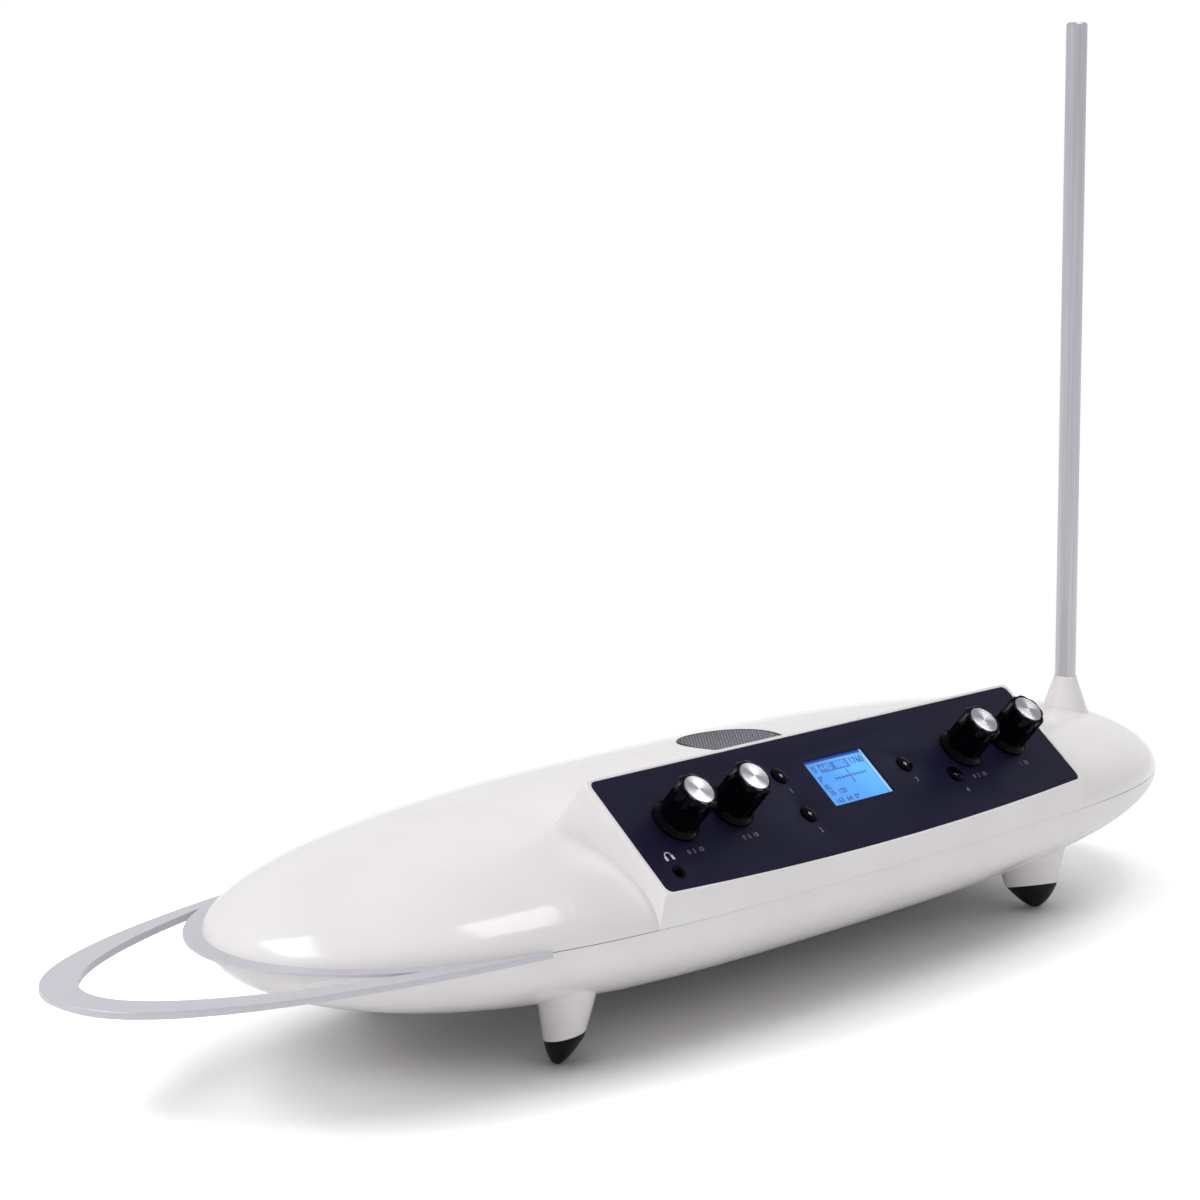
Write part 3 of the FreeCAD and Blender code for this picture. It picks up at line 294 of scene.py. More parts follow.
# Drawn and satin-polished aluminium tube: long fine streaks along its length.
FINISH["aluminium"] = grained("drawn_satin_aluminium", 0.9, 3.0, ("C6C5CC", "D8D7DD"), (0.4, 0.5), 0.004,
                              stretch=(1, 1, 0.01), Metallic=1.0)
FINISH["spun_aluminium"] = spun_aluminium()
# Small plated, turned or sintered parts: a tight grain, a little patchy from hands and tools.
for slot, name, shades, roughness in (
        ("plated_steel", "zinc_plated_steel", ("9FA0A3", "BFC0C2"), (0.28, 0.42)),
        ("nickel_brass", "nickel_plated_brass", ("C3C0BA", "DAD8D2"), (0.14, 0.24)),
        ("brass", "turned_brass", ("B08D4C", "CFAE6A"), (0.22, 0.34)),
        ("phosphor_bronze", "phosphor_bronze_strip", ("A9794B", "C79A6A"), (0.24, 0.36)),
        ("ferrite", "sintered_ferrite", ("2B2B2E", "3A3A3D"), (0.55, 0.7)),
        ("steel_mesh", "black_lacquered_steel", ("121216", "1E1E23"), (0.35, 0.5))):
    FINISH[slot] = grained(name, 2.5, 4.0, shades, roughness, 0.004, Metallic=1.0)
FINISH["speaker_frame"] = FINISH["steel_mesh"]

# %% [markdown]
# The panel's face is a screen-printed matt film in a very dark navy. Next to it sit the glossy
# black knobs, the satin black sockets and the rubber feet: four blacks that differ mostly in
# how they reflect. Keeping them as four materials is what makes them read as four stuffs.

# %% The blacks
# Matt printed polyester film: even dark navy with a fine velvet grain.
FINISH["panel"] = grained("printed_matt_film", 0.35, 2.0, ("15142A", "1B1A34"), (0.42, 0.52), 0.004,
                          IOR=1.5, Specular_IOR_Level=0.1)
# Black phenolic, moulded and buffed: nearly mirror-smooth, with faint buffing haze.
FINISH["gloss_black"] = grained("polished_black_phenolic", 3.0, 3.0, ("020205", "060609"), (0.06, 0.1),
                                0.003, IOR=1.6, Specular_IOR_Level=0.045)
# Black glass-filled nylon straight from the mould: satin, with a fine spark-eroded texture.
FINISH["black_plastic"] = grained("satin_black_nylon", 0.4, 2.0, ("111114", "19191D"), (0.38, 0.5), 0.01,
                                  IOR=1.53)
# Moulded black rubber: dull, a little dusty in patches.
FINISH["rubber"] = grained("moulded_black_rubber", 1.6, 4.0, ("09080D", "111015"), (0.36, 0.52), 0.01,
                           IOR=1.52, Specular_IOR_Level=0.2)

# %% [markdown]
# The display has three layers: a clear acrylic window, a blue picture lit from behind, and
# darker segments on it. The picture gives off its own light, so it needs an emission colour
# rather than a lamp. Along two edges, pale glowing strips are painted light: they stand for the
# backlight's reflection on the walls of the window's opening.

# %% Display, print, speaker and board finishes
THREAD = 0.6          # distance between threads of the cloth, in millimetres
WAVE = 0.05           # scale that gives the wave texture one thread per unit
TRACK = 9.0           # length of the board's track pattern, in millimetres


def lit_glass(name, dark, light, strength):
    """Backlit display glass: gives off its own slightly uneven light."""
    material, tree, shader = start_material(name, IOR=1.5, Roughness=0.3, Emission_Strength=strength)
    tint(tree, shader, grain(tree, 22, 0.5), dark, light)
    ramp = shader.inputs["Base Color"].links[0].from_node
    tree.links.new(ramp.outputs["Color"], shader.inputs["Emission Color"])
    return material


def screen_ink(name, dark, light):
    """Screen-printed ink, with a slightly starved, uneven coat."""
    return grained(name, 0.5, 2.0, (dark, light), (0.45, 0.6), IOR=1.5)


def grey_cloth():
    """Woven acoustic cloth behind the mesh: over-and-under threads."""
    material, tree, shader = start_material("woven_acoustic_cloth", IOR=1.45, Sheen_Weight=0.3)
    waves = {"Vector": own_place(tree), "Scale": WAVE / (THREAD * MM)}
    threads = [add(tree, "TexWave", waves, bands_direction=way).outputs["Fac"] for way in "XY"]
    weave = reckon(tree, "MULTIPLY", *threads)
    tint(tree, shader, weave, "8E8F9E", "B4B5C4", 0.0, 1.0)
    vary_roughness(tree, shader, weave, 0.75, 0.9)
    relief(tree, shader, weave, 0.05)
    return material


def circuit_board():
    """Fibreglass board under green solder mask, with the copper tracks showing through as bands."""
    material, tree, shader = start_material("green_solder_mask", IOR=1.5)
    tracks = add(tree, "TexBrick", {"Vector": own_place(tree), "Scale": 1 / (TRACK * MM),
                                              "Mortar Size": 0.03, "Color1": linear("0F4A28"),
                                              "Color2": linear("0D4324"), "Mortar": linear("1C6A3C")})
    tree.links.new(tracks.outputs["Color"], shader.inputs["Base Color"])
    vary_roughness(tree, shader, tracks.outputs["Fac"], 0.3, 0.22)
    relief(tree, shader, tracks.outputs["Fac"], 0.03)
    return material


# Cast acrylic: clear, polished, with a trace of fine scratches.
FINISH["window"] = grained("clear_acrylic", 1.2, 3.0, ("F4F8FF", "FFFFFF"), (0.0, 0.03),
                           stretch=(1, 0.08, 0.08), IOR=1.49, Transmission_Weight=1.0)
FINISH["display"] = FINISH["black_plastic"]
FINISH["picture"] = lit_glass("backlit_blue_glass", "3C98DE", "54B2EE", 0.42)
FINISH["shade"] = lit_glass("shaded_blue_segments", "1C62BC", "246EC6", 0.34)
FINISH["segments"] = lit_glass("dark_blue_segments", "083EA0", "0C4AAC", 0.3)
# Painted light: pale glowing strips for the backlight's reflection on the walls of the window's opening.
FINISH["painted_edge_reflection"] = lit_glass("painted_backlight_reflection", "9CC8FF", "C4E0FF", 0.5)
FINISH["ink"] = screen_ink("screen_print_ink", "74747F", "94949E")
FINISH["white_ink"] = screen_ink("dense_white_ink", "C2C2C9", "DCDCE2")
FINISH["cloth"] = grey_cloth()
FINISH["board"] = circuit_board()
# Coated loudspeaker paper: dark, fibrous and dry.
FINISH["paper_cone"] = grained("coated_speaker_paper", 0.8, 5.0, ("16161A", "26262B"), (0.75, 0.92), 0.03,
                               stretch=(1, 3, 1), IOR=1.45)
print("finishes", len(FINISH))

# %% [markdown]
# Every CAD piece that keeps its shape gets the finish named after the material slot that the
# record gives it. Inner pieces never show in a closed instrument, but they are finished too, since the
# instrument may be opened or shown in an exploded view.

# %% Finish every CAD piece by its slot
SLOT_OF = {entry["node"]: entry["material_slot"] for entry in frame["record"]["subparts"]}
BODY_OF = {node: body for body, members in frame["record"]["behaviour"]["bodies"].items() for node in members}

for node, cad in frame["nodes"].items():
    cad.data.materials.clear()
    cad.data.materials.append(FINISH[SLOT_OF[node]])
print("finished", len(frame["nodes"]), "CAD pieces")

# %% [markdown]
# A CAD piece arrives as loose triangles, which shade as flat facets. Where its form is right, a
# copy with its corners joined and its gentle edges smoothed is all that it needs: edges that
# turn by less than the crease angle are blended, and sharper ones stay crisp.

# %% Smooth copies of CAD pieces
JOIN_WITHIN = 0.002          # millimetres between corners that count as one
SHORTEST_EDGE = 0.0005       # millimetres; anything shorter goes
CREASE, KNOB_CREASE, RIM_CREASE = 30, 24, 40     # degrees


def shown(name, data):
    """A new object in the scene."""
    thing = bpy.data.objects.new(name, data)
    bpy.context.scene.collection.objects.link(thing)
    return thing


def finished_mesh(work, name):
    """Turns a mesh that was being worked on into a plain one."""
    mesh = bpy.data.meshes.new(name)
    work.to_mesh(mesh)
    work.free()
    return mesh


def shade(mesh, crease=CREASE, joined=False):
    """Shades a mesh smooth, apart from edges that turn by more than crease degrees.

    If joined is set, the corners of its loose triangles are joined first.
    """
    work = bmesh.new()
    work.from_mesh(mesh)
    if joined:
        bmesh.ops.remove_doubles(work, verts=work.verts, dist=JOIN_WITHIN * MM)
        bmesh.ops.dissolve_degenerate(work, edges=work.edges, dist=SHORTEST_EDGE * MM)
        work.normal_update()
    for face in work.faces:
        face.smooth = True
    for edge in work.edges:
        edge.smooth = edge.is_manifold and edge.calc_face_angle(0.0) < math.radians(crease)
    work.to_mesh(mesh)
    work.free()


def finish_piece(name, mesh, body, slot, *replaced, finish=None):
    """Makes a mesh a piece of the instrument: named, riding on its body, finished as its slot says.

    Only a piece that looks different from its slot gives its own finish.
    """
    mesh.materials.clear()
    mesh.materials.append(FINISH[finish or slot])
    piece = shown(name, mesh)
    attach(piece, body)
    if replaced:
        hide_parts(*replaced)
    return piece


def smooth_copy(node):
    source = frame["nodes"][node].data
    mesh = bpy.data.meshes.new(node + "_smooth")
    mesh.from_pydata([tuple(vertex.co) for vertex in source.vertices], [],
                     [tuple(face.vertices) for face in source.polygons])
    shade(mesh, joined=True)
    finish = "gloss_black" if node == "headphone_jack" else None      # its face is polished
    return finish_piece(node + "_skin", mesh, BODY_OF[node], SLOT_OF[node], node, finish=finish)


SMOOTHED = ["upper_shell", "lower_shell", "volume_antenna", "front_panel", "display_window",
            "headphone_jack", "rear_panel", "jack_nuts", "supply_inlet", "data_socket", "stand_insert",
            "case_screws", "power_button"]
SMOOTHED += [node for node in frame["nodes"]
             if node.startswith("foot_tip_") or node.endswith("_output_jack")]
for node in SMOOTHED:
    smooth_copy(node)
print("smoothed", len(SMOOTHED), "pieces")

# %% [markdown]
# Knobs, caps, buttons and the rod are turned parts: a profile swept round an axis. The sweep is
# written out here instead of using a modifier, because the knobs need one thing that a lathe
# can't do: eight shallow hollows, or flutes, for the fingers. Each ring of the profile may
# therefore say how deep its flutes are.

# %% A lathe with flutes
FLUTES = 8
CUTTER = 7.0          # radius of the cutter that hollows a flute, in millimetres


def ring_radius(radius, angle, depth):
    """Distance from the axis of a ring that round cutters have hollowed out to the given depth."""
    if depth == 0:
        return radius
    pitch = 2 * math.pi / FLUTES
    off = (angle + pitch / 2) % pitch - pitch / 2
    centre = radius + CUTTER - depth
    under_root = CUTTER ** 2 - (centre * math.sin(off)) ** 2
    if under_root <= 0:
        return radius
    return min(radius, centre * math.cos(off) - math.sqrt(under_root))


def lathe(profile, segments):
    """Closed mesh from (radius, height[, flute depth]) points in millimetres, out and back.

    A profile that starts and ends on the axis is closed there; any other is joined end to start.
    A chart named rings holds the angle and the radius in millimetres, for ring-shaped patterns.
    """
    entries = [tuple(entry) + (0.0,) * (3 - len(entry)) for entry in profile]
    work = bmesh.new()
    chart = work.loops.layers.uv.new("rings")
    rings = []
    for radius, height, depth in entries:
        ring = []
        for i in range(segments if radius else 1):
            angle = 2 * math.pi * i / segments
            reach = ring_radius(radius, angle, depth) * MM
            ring.append(work.verts.new((reach * math.cos(angle), reach * math.sin(angle), height * MM)))
        rings.append(ring)
    pairs = list(zip(rings, rings[1:]))
    if entries[0][0] > 0:
        pairs.append((rings[-1], rings[0]))
    for lower, upper in pairs:
        for i in range(segments):
            j = (i + 1) % segments
            start = (lower[i % len(lower)], upper[i % len(upper)])
            end = (lower[j % len(lower)], upper[j % len(upper)])
            unique = list(dict.fromkeys((start[0], end[0], end[1], start[1])))
            if len(unique) < 3:
                continue
            face = work.faces.new(unique)
            for loop in face.loops:
                spot = loop.vert.co
                turn = i if loop.vert in start else i + 1
                loop[chart].uv = (turn / segments, math.hypot(spot.x, spot.y) / MM)
    bmesh.ops.recalc_face_normals(work, faces=work.faces)
    return finished_mesh(work, "lathe")


def turned_piece(name, profile, segments, place, body, slot, node, crease=CREASE):
    """A turned piece that stands for a CAD piece; place moves it there from the origin."""
    mesh = lathe(profile, segments)
    mesh.transform(place)
    shade(mesh, crease)
    return finish_piece(name, mesh, body, slot, node)


def softened(points, radius, steps=4):
    """Rounds the corners of a profile: each becomes a short curve of about that radius."""
    result = [points[0]]
    for before, corner, after in zip(points, points[1:], points[2:]):
        here = Vector(corner[:2])
        back, on = Vector(before[:2]) - here, Vector(after[:2]) - here
        reach = min(radius, back.length / 2, on.length / 2)
        start, end = here + back.normalized() * reach, here + on.normalized() * reach
        depth = corner[2:] or (0.0,)
        for i in range(steps + 1):
            t = i / steps
            spot = start * (1 - t) ** 2 + here * (2 * t * (1 - t)) + end * t ** 2
            result.append((spot.x, spot.y) + tuple(depth))
    result.append(points[-1])
    return result


# %% [markdown]
# A knob is a black body with a thin skirt at its foot, eight flutes, a bevelled rim and a spun
# metal cap let into its top. Its height and its axis are read from the CAD piece. The moulding
# itself is a little fuller than the plain solid, and nearly straight-sided.

# %% The four knobs
SKIRT_RADIUS = 11.0
SKIRT_EDGE = 1.3      # thickness of the skirt at its rim
SKIRT_RISE = 4.0      # where its flare meets the body
FLARE_RISE = 3.0      # where the flare is this much wider than the body:
FLARE_OUT = 0.3
WAIST_RADIUS = 9.2    # the body's foot, between the flutes
HEAD_RADIUS = 9.4     # and its top
FLUTE_DEPTH = 0.9
TOP_FLUTES = 0.6      # how much of that depth is left at the bevelled rim
RIM_BEVEL = 1.0
KNOB_ROUND = 0.4      # radius of every edge of the moulding
NOOK_RADIUS = 6.6     # hollow under the knob, which clears the nut
NOOK_HEIGHT = 4.4
SHAFT_RADIUS = 3.05
DISC_RADIUS = 7.2
DISC_GAP = 0.08       # between the cap and the moulding
DISC_BEVELS = 0.15, 0.3          # at its foot and at its face
DISC_DISH = 0.04, 0.06           # how deep the face lies half-way in and in the middle
DISC_ROUND = 0.12


def knob_frame(control):
    """Place of a knob: the matrix at its axis, on the panel's surface."""
    spot = PANEL_AXES @ Vector(joint(control + "_turn")["pos_m"])
    return panel_place(spot.x, spot.y)


def knob_body(control):
    foot, top = heights(control + "_knob")
    seat = heights(control + "_knob_cap")[0]
    outside = [(SHAFT_RADIUS, foot + NOOK_HEIGHT), (NOOK_RADIUS, foot + NOOK_HEIGHT), (NOOK_RADIUS, foot),
               (SKIRT_RADIUS, foot), (SKIRT_RADIUS, foot + SKIRT_EDGE),
               (WAIST_RADIUS + FLARE_OUT, foot + FLARE_RISE), (WAIST_RADIUS, foot + SKIRT_RISE, FLUTE_DEPTH),
               (HEAD_RADIUS, top - RIM_BEVEL, FLUTE_DEPTH),
               (HEAD_RADIUS - RIM_BEVEL, top, FLUTE_DEPTH * TOP_FLUTES), (DISC_RADIUS + DISC_GAP, top),
               (DISC_RADIUS + DISC_GAP, seat), (SHAFT_RADIUS, seat)]
    return turned_piece(control + "_knob_body", softened(outside, KNOB_ROUND), 192, knob_frame(control),
                        control + "_control", "gloss_black", control + "_knob", KNOB_CREASE)


def knob_top(control):
    bottom, top = heights(control + "_knob_cap")
    low_bevel, bevel = DISC_BEVELS
    half_way, middle = DISC_DISH
    edge = [(0, bottom), (DISC_RADIUS - low_bevel, bottom), (DISC_RADIUS, bottom + low_bevel),
            (DISC_RADIUS, top - bevel), (DISC_RADIUS - bevel, top), (DISC_RADIUS / 2, top - half_way),
            (0, top - middle)]
    return turned_piece(control + "_knob_disc", softened(edge, DISC_ROUND, 3), 96, knob_frame(control),
                        control + "_control", "spun_aluminium", control + "_knob_cap", KNOB_CREASE)


CONTROLS = ["volume", "pitch_correction", "amount", "presets"]
for control in CONTROLS:
    body, disc = knob_body(control), knob_top(control)
    print(control, "knob faces", len(body.data.polygons), "disc faces", len(disc.data.polygons))

# %% [markdown]
# The four buttons are small glossy domes. Each stands in a shallow ring, and what the eye
# catches is one bright spot on the dome and a dark line round it, so the dome has to be truly
# round and not faceted.

# %% The push buttons
BUTTON_RADIUS = 4.0
BUTTON_CROWN = 0.9    # how far the dome rises over its edge
FLANGE_BEYOND = 0.5   # whatever lies this far outside the dome belongs to the flange under it
STEM_RADIUS = 1.7


def button(name):
    node = name + "_button"
    across, up = centre_of(node)
    bottom, top = heights(node)
    centre = Vector((across, up, PANEL_HIGH.z))
    spots = [PANEL_AXES @ vertex.co - centre for vertex in frame["nodes"][node].data.vertices]
    flange = [(math.hypot(spot.x, spot.y) / MM, spot.z / MM) for spot in spots]
    flange = [spot for spot in flange if spot[0] > BUTTON_RADIUS + FLANGE_BEYOND]
    collar, under, shelf = max(flange)[0], min(z for _, z in flange), max(z for _, z in flange)
    ball = (BUTTON_RADIUS ** 2 + BUTTON_CROWN ** 2) / (2 * BUTTON_CROWN)
    lean = math.asin(BUTTON_RADIUS / ball)
    dome = [(ball * math.sin(a), top - ball + ball * math.cos(a)) for a in np.linspace(lean, 0.02, 12)]
    edge = [(0, bottom), (STEM_RADIUS, bottom), (STEM_RADIUS, under), (collar, under), (collar, shelf),
            (BUTTON_RADIUS, shelf)] + dome + [(0, top)]
    return turned_piece(name + "_button_dome", edge, 64, panel_place(across, up), node, "gloss_black", node)


for name in ("scale", "root", "setup", "effect"):
    print("button", name, len(button(name).data.polygons), "faces")

# %% [markdown]
# The rod is a drawn aluminium tube with a small chamfer at its top and a plain pin below, which
# plugs into the body. It is the simplest turned part, so only its profile is given.

# %% The pitch antenna
ROD_LOW, ROD_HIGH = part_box("pitch_antenna")
SOCKET_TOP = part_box("antenna_socket")[1].z
ROD_CENTRE = (ROD_LOW + ROD_HIGH) / 2
ROD_RADIUS = (ROD_HIGH.x - ROD_LOW.x) / 2 / MM
PIN_RADIUS = 3.0
PIN_CHAMFER = 0.6
ROD_CHAMFER = 0.9
SHOULDER_GAP = 0.1    # between the rod's shoulder and the socket it stands on


def rod():
    bottom, top = ROD_LOW.z / MM, ROD_HIGH.z / MM
    shoulder = SOCKET_TOP / MM + SHOULDER_GAP
    steps = np.linspace(shoulder + 1, top - 2 * ROD_CHAMFER, 24)
    outside = [(0, bottom), (PIN_RADIUS - PIN_CHAMFER, bottom), (PIN_RADIUS, bottom + PIN_CHAMFER),
               (PIN_RADIUS, shoulder), (ROD_RADIUS, shoulder)] + [(ROD_RADIUS, z) for z in steps]
    outside += [(ROD_RADIUS, top - ROD_CHAMFER), (ROD_RADIUS - ROD_CHAMFER, top), (0, top)]
    place = Matrix.Translation((ROD_CENTRE.x, ROD_CENTRE.y, 0))
    return turned_piece("pitch_antenna_rod", outside, 96, place, "pitch_antenna", "aluminium",
                        "pitch_antenna")


print("rod faces", len(rod().data.polygons))

# %% [markdown]
# The speaker on top breathes through a square mesh of thin dark bars over grey cloth. A mesh is
# the classic case for Geometry Nodes: one flat grid, bent to the crown of the body, trimmed to
# a circle, its edges turned into bars. The tree takes its sizes as named inputs, and the result
# is baked to a plain mesh at the end.

# %% The speaker grille as a node tree
GRILLE_LOW, GRILLE_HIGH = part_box("speaker_grille")
GRILLE_CENTRE = (GRILLE_LOW + GRILLE_HIGH) / 2
GRILLE_RADIUS = (GRILLE_HIGH.x - GRILLE_LOW.x) / 2
CROWN_RADIUS = 234 * MM      # how the body's top curves from front to back
BAR_DEPTH = 0.15             # the middle of the bars under the grille's top, in millimetres


def grille_tree():
    tree = bpy.data.node_groups.new("woven_bars", "GeometryNodeTree")
    for name, value in (("Radius", GRILLE_RADIUS), ("Pitch", 1.8 * MM), ("Bar", 0.45 * MM),
                        ("Thickness", 0.2 * MM), ("Crown", CROWN_RADIUS)):
        socket = tree.interface.new_socket(name, in_out="INPUT", socket_type="NodeSocketFloat")
        socket.default_value = value
    tree.interface.new_socket("Geometry", in_out="OUTPUT", socket_type="NodeSocketGeometry")
    given = add(tree, "NodeGroupInput").outputs
    span = reckon(tree, "MULTIPLY", given["Radius"], 2.0)
    count = reckon(tree, "DIVIDE", span, given["Pitch"])
    sheet = add(tree, "GeometryNodeMeshGrid", {"Size X": span, "Size Y": span,
                                               "Vertices X": count, "Vertices Y": count})
    place = add(tree, "GeometryNodeInputPosition").outputs["Position"]
    back = add(tree, "SeparateXYZ", {"Vector": place}).outputs["Y"]
    away = add(tree, "VectorMath", {0: place}, operation="LENGTH")
    outside = add(tree, "FunctionNodeCompare", {0: away.outputs["Value"], 1: given["Radius"]},
                  data_type="FLOAT", operation="GREATER_THAN")
    trimmed = add(tree, "GeometryNodeDeleteGeometry",
                  {"Geometry": sheet.outputs["Mesh"], "Selection": outside.outputs["Result"]}, domain="POINT")
    sag = reckon(tree, "DIVIDE", reckon(tree, "MULTIPLY", back, back),
                 reckon(tree, "MULTIPLY", given["Crown"], -2.0))
    drop = add(tree, "CombineXYZ", {"Z": sag})
    bent = add(tree, "GeometryNodeSetPosition", {"Geometry": trimmed.outputs["Geometry"],
                                                 "Offset": drop.outputs["Vector"]})
    lines = add(tree, "GeometryNodeMeshToCurve", {"Mesh": bent.outputs["Geometry"]})
    section = add(tree, "GeometryNodeCurvePrimitiveQuadrilateral",
                  {"Width": given["Bar"], "Height": given["Thickness"]})
    bars = add(tree, "GeometryNodeCurveToMesh", {"Curve": lines.outputs["Curve"], "Fill Caps": True,
                                                 "Profile Curve": section.outputs["Curve"]})
    add(tree, "NodeGroupOutput", {"Geometry": bars.outputs["Mesh"]})
    return tree


def plain_mesh(carrier):
    """The mesh that an object's modifiers or text come to; the object itself is taken away."""
    bpy.context.view_layer.update()
    evaluated = carrier.evaluated_get(bpy.context.evaluated_depsgraph_get())
    mesh = bpy.data.meshes.new_from_object(evaluated)
    bpy.data.objects.remove(carrier)
    return mesh


def baked(tree, name):
    """Runs a node tree on an empty mesh and returns the plain mesh that it makes."""
    carrier = shown(name + "_carrier", bpy.data.meshes.new(name + "_carrier"))
    carrier.modifiers.new("make", "NODES").node_group = tree
    mesh = plain_mesh(carrier)
    mesh.name = name
    return mesh


bars = baked(grille_tree(), "speaker_mesh")
bars.transform(Matrix.Translation((GRILLE_CENTRE.x, GRILLE_CENTRE.y, GRILLE_HIGH.z - BAR_DEPTH * MM)))
grille = finish_piece("speaker_mesh", bars, "instrument", "steel_mesh", "speaker_grille")
print("grille faces", len(grille.data.polygons))

# %% [markdown]
# Under the bars lies a disc of grey cloth, and a rounded rim holds both. The cloth follows the
# same crown and comes up between the bars, which stand out of it by less than a tenth of a
# millimetre.

# %% Cloth and rim of the grille
CLOTH_DEPTH, RIM_DEPTH = 0.13, 0.02       # their tops under the grille's top, in millimetres
CLOTH_THICKNESS = 0.3
CLOTH_GAP = 0.3                           # between the cloth's edge and the grille's
RIM_WIDTH, RIM_HEIGHT, RIM_ROUND = 1.9, 0.6, 0.25


def crowned(mesh, depth):
    """Bends a flat mesh, built about the origin, to the crown of the body and puts it in the grille."""
    for vertex in mesh.vertices:
        sag = vertex.co.y ** 2 / (2 * CROWN_RADIUS)
        vertex.co += Vector((GRILLE_CENTRE.x, GRILLE_CENTRE.y, GRILLE_HIGH.z - depth * MM - sag))
    mesh.update()
    return mesh


outer = GRILLE_RADIUS / MM
inner = outer - RIM_WIDTH
cloth_rings = [(outer - CLOTH_GAP) * i / 12 for i in range(13)]
cloth_profile = [(radius, -CLOTH_THICKNESS) for radius in cloth_rings]
cloth_profile += [(radius, 0) for radius in reversed(cloth_rings)]
cloth = finish_piece("speaker_cloth", crowned(lathe(cloth_profile, 72), CLOTH_DEPTH), "instrument",
                     "steel_mesh", finish="cloth")
rim_profile = softened([(inner, -RIM_HEIGHT), (outer, -RIM_HEIGHT), (outer, 0), (inner, 0),
                        (inner, -RIM_HEIGHT)], RIM_ROUND)[:-1]
rim = finish_piece("speaker_rim", crowned(lathe(rim_profile, 96), RIM_DEPTH), "instrument", "steel_mesh")
shade(rim.data, RIM_CREASE)
print("cloth", len(cloth.data.polygons), "rim", len(rim.data.polygons))

# %% [markdown]
# Behind the window lies the picture: a lit blue field with marks that say nothing. There are
# rows of dark figures, two shaded blocks with light figures on them, a scale with a pointer, a
# dark top line of painted shade and two pale edges of painted light, which stand for the
# backlight's reflection on the walls of the opening. The strips are built by one function that
# makes flat boxes from their corners. The figures use Blender's own font, turned into a mesh.
# Each layer lies a few hundredths of a millimetre over the one before.

# %% The display's picture
WINDOW_LOW, WINDOW_HIGH = extent("display_window")
MODULE_TOP = extent("display_module")[1].z
SCREEN_CENTRE = (WINDOW_LOW + WINDOW_HIGH) / 2
SCREEN_WIDTH, SCREEN_HEIGHT = 43.3, 28.2      # the lit field, in millimetres
SEEN_WIDTH, SEEN_HEIGHT = 41.3, 26.2          # the part of it that the frame leaves free
FIELD_THICKNESS, EDGE_THICKNESS, MARK_THICKNESS = 0.05, 0.04, 0.03
FIELD_LIFT, BLOCK_LIFT, MARK_LIFT, EDGE_LIFT, ROW_LIFT = 0.01, 0.065, 0.09, 0.1, 0.11
ROW_BOLD = 0.1


def strips_mesh(name, strips, thickness):
    """One mesh of flat boxes: each strip is (left, bottom, width, height) in millimetres."""
    work = bmesh.new()
    for left, bottom, width, height in strips:
        centre = Vector((left + width / 2, bottom + height / 2, thickness / 2)) * MM
        size = Matrix.Diagonal((width * MM, height * MM, thickness * MM, 1))
        bmesh.ops.create_cube(work, size=1.0, matrix=Matrix.Translation(centre) @ size)
    return finished_mesh(work, name)


def figure_mesh(text, height, thickness, align="CENTER", bold=0.0):
    """Flat mesh of a few figures about the origin, that height and that bolder in millimetres."""
    curve = bpy.data.curves.new("figures", "FONT")
    curve.body = text
    curve.align_x = align
    curve.align_y = "CENTER"
    curve.size = height * MM * 1.4       # a figure is about 1/1.4 of the font's size
    curve.extrude = thickness * MM / 2
    curve.offset = bold * MM
    return plain_mesh(shown("figures", curve))


def on_screen(name, mesh, lift, finish):
    mesh.transform(panel_place(SCREEN_CENTRE.x, SCREEN_CENTRE.y, MODULE_TOP + lift * MM))
    return finish_piece(name, mesh, "instrument", "display", finish=finish)


side, top = SEEN_WIDTH / 2, SEEN_HEIGHT / 2
FIELD = [(-SCREEN_WIDTH / 2, -SCREEN_HEIGHT / 2, SCREEN_WIDTH, SCREEN_HEIGHT)]
SCALE = [(-7 + 2.62 * i, 0.0, 0.4, 2.4) for i in range(9)]
# The last strip is painted shade: a dark band along the top of the seen field, under the opening's top wall.
MARKS_AND_TOP_SHADE = [(-7, 0.9, 21, 0.6)] + SCALE + [(3.2, -3.0, 0.8, 8.0), (-side, top - 1.4, SEEN_WIDTH, 2.2)]
BLOCKS = [(-12.0, 5.6, 20.0, 4.8), (-17.0, -3.4, 4.2, 7.6)]
# Painted light: strips along the right and the bottom of the seen field, for the backlight's reflection on
# the opening's walls.
PAINTED_REFLECTIONS = [(side - 0.9, -top - 0.8, 1.7, SEEN_HEIGHT + 0.8), (-side, -top - 0.8, SEEN_WIDTH, 1.2)]
ROWS = [("0", 3.4, -16.6, 8.0, "segments"), ("440  880", 3.6, -11.4, 8.0, "picture"),
        ("1760", 3.4, 9.0, 8.0, "segments"), ("4", 6.8, -16.9, 0.4, "picture"),
        ("25  128", 2.6, -16.6, -5.6, "segments"), ("163  64  09", 2.6, -16.6, -10.2, "segments")]

on_screen("display_field", strips_mesh("display_field", FIELD, FIELD_THICKNESS), FIELD_LIFT, "picture")
on_screen("display_marks", strips_mesh("display_marks", MARKS_AND_TOP_SHADE, MARK_THICKNESS), MARK_LIFT, "segments")
on_screen("display_block", strips_mesh("display_block", BLOCKS, MARK_THICKNESS), BLOCK_LIFT, "shade")
for number, (text, height, left, up, finish) in enumerate(ROWS):
    row = figure_mesh(text, height, MARK_THICKNESS, "LEFT", ROW_BOLD)
    row.transform(Matrix.Translation((left * MM, up * MM, 0)))
    on_screen("display_row_%d" % number, row, ROW_LIFT, finish)
# Painted light: the backlight's reflection along two edges.
on_screen("display_edges", strips_mesh("display_edges", PAINTED_REFLECTIONS, EDGE_THICKNESS), EDGE_LIFT, "painted_edge_reflection")
print("display marks", len(MARKS_AND_TOP_SHADE))

# %% [markdown]
# The panel's print is plain: a number under each button, a short scale of numbers under each
# knob and the usual pictogram over the headphone socket.

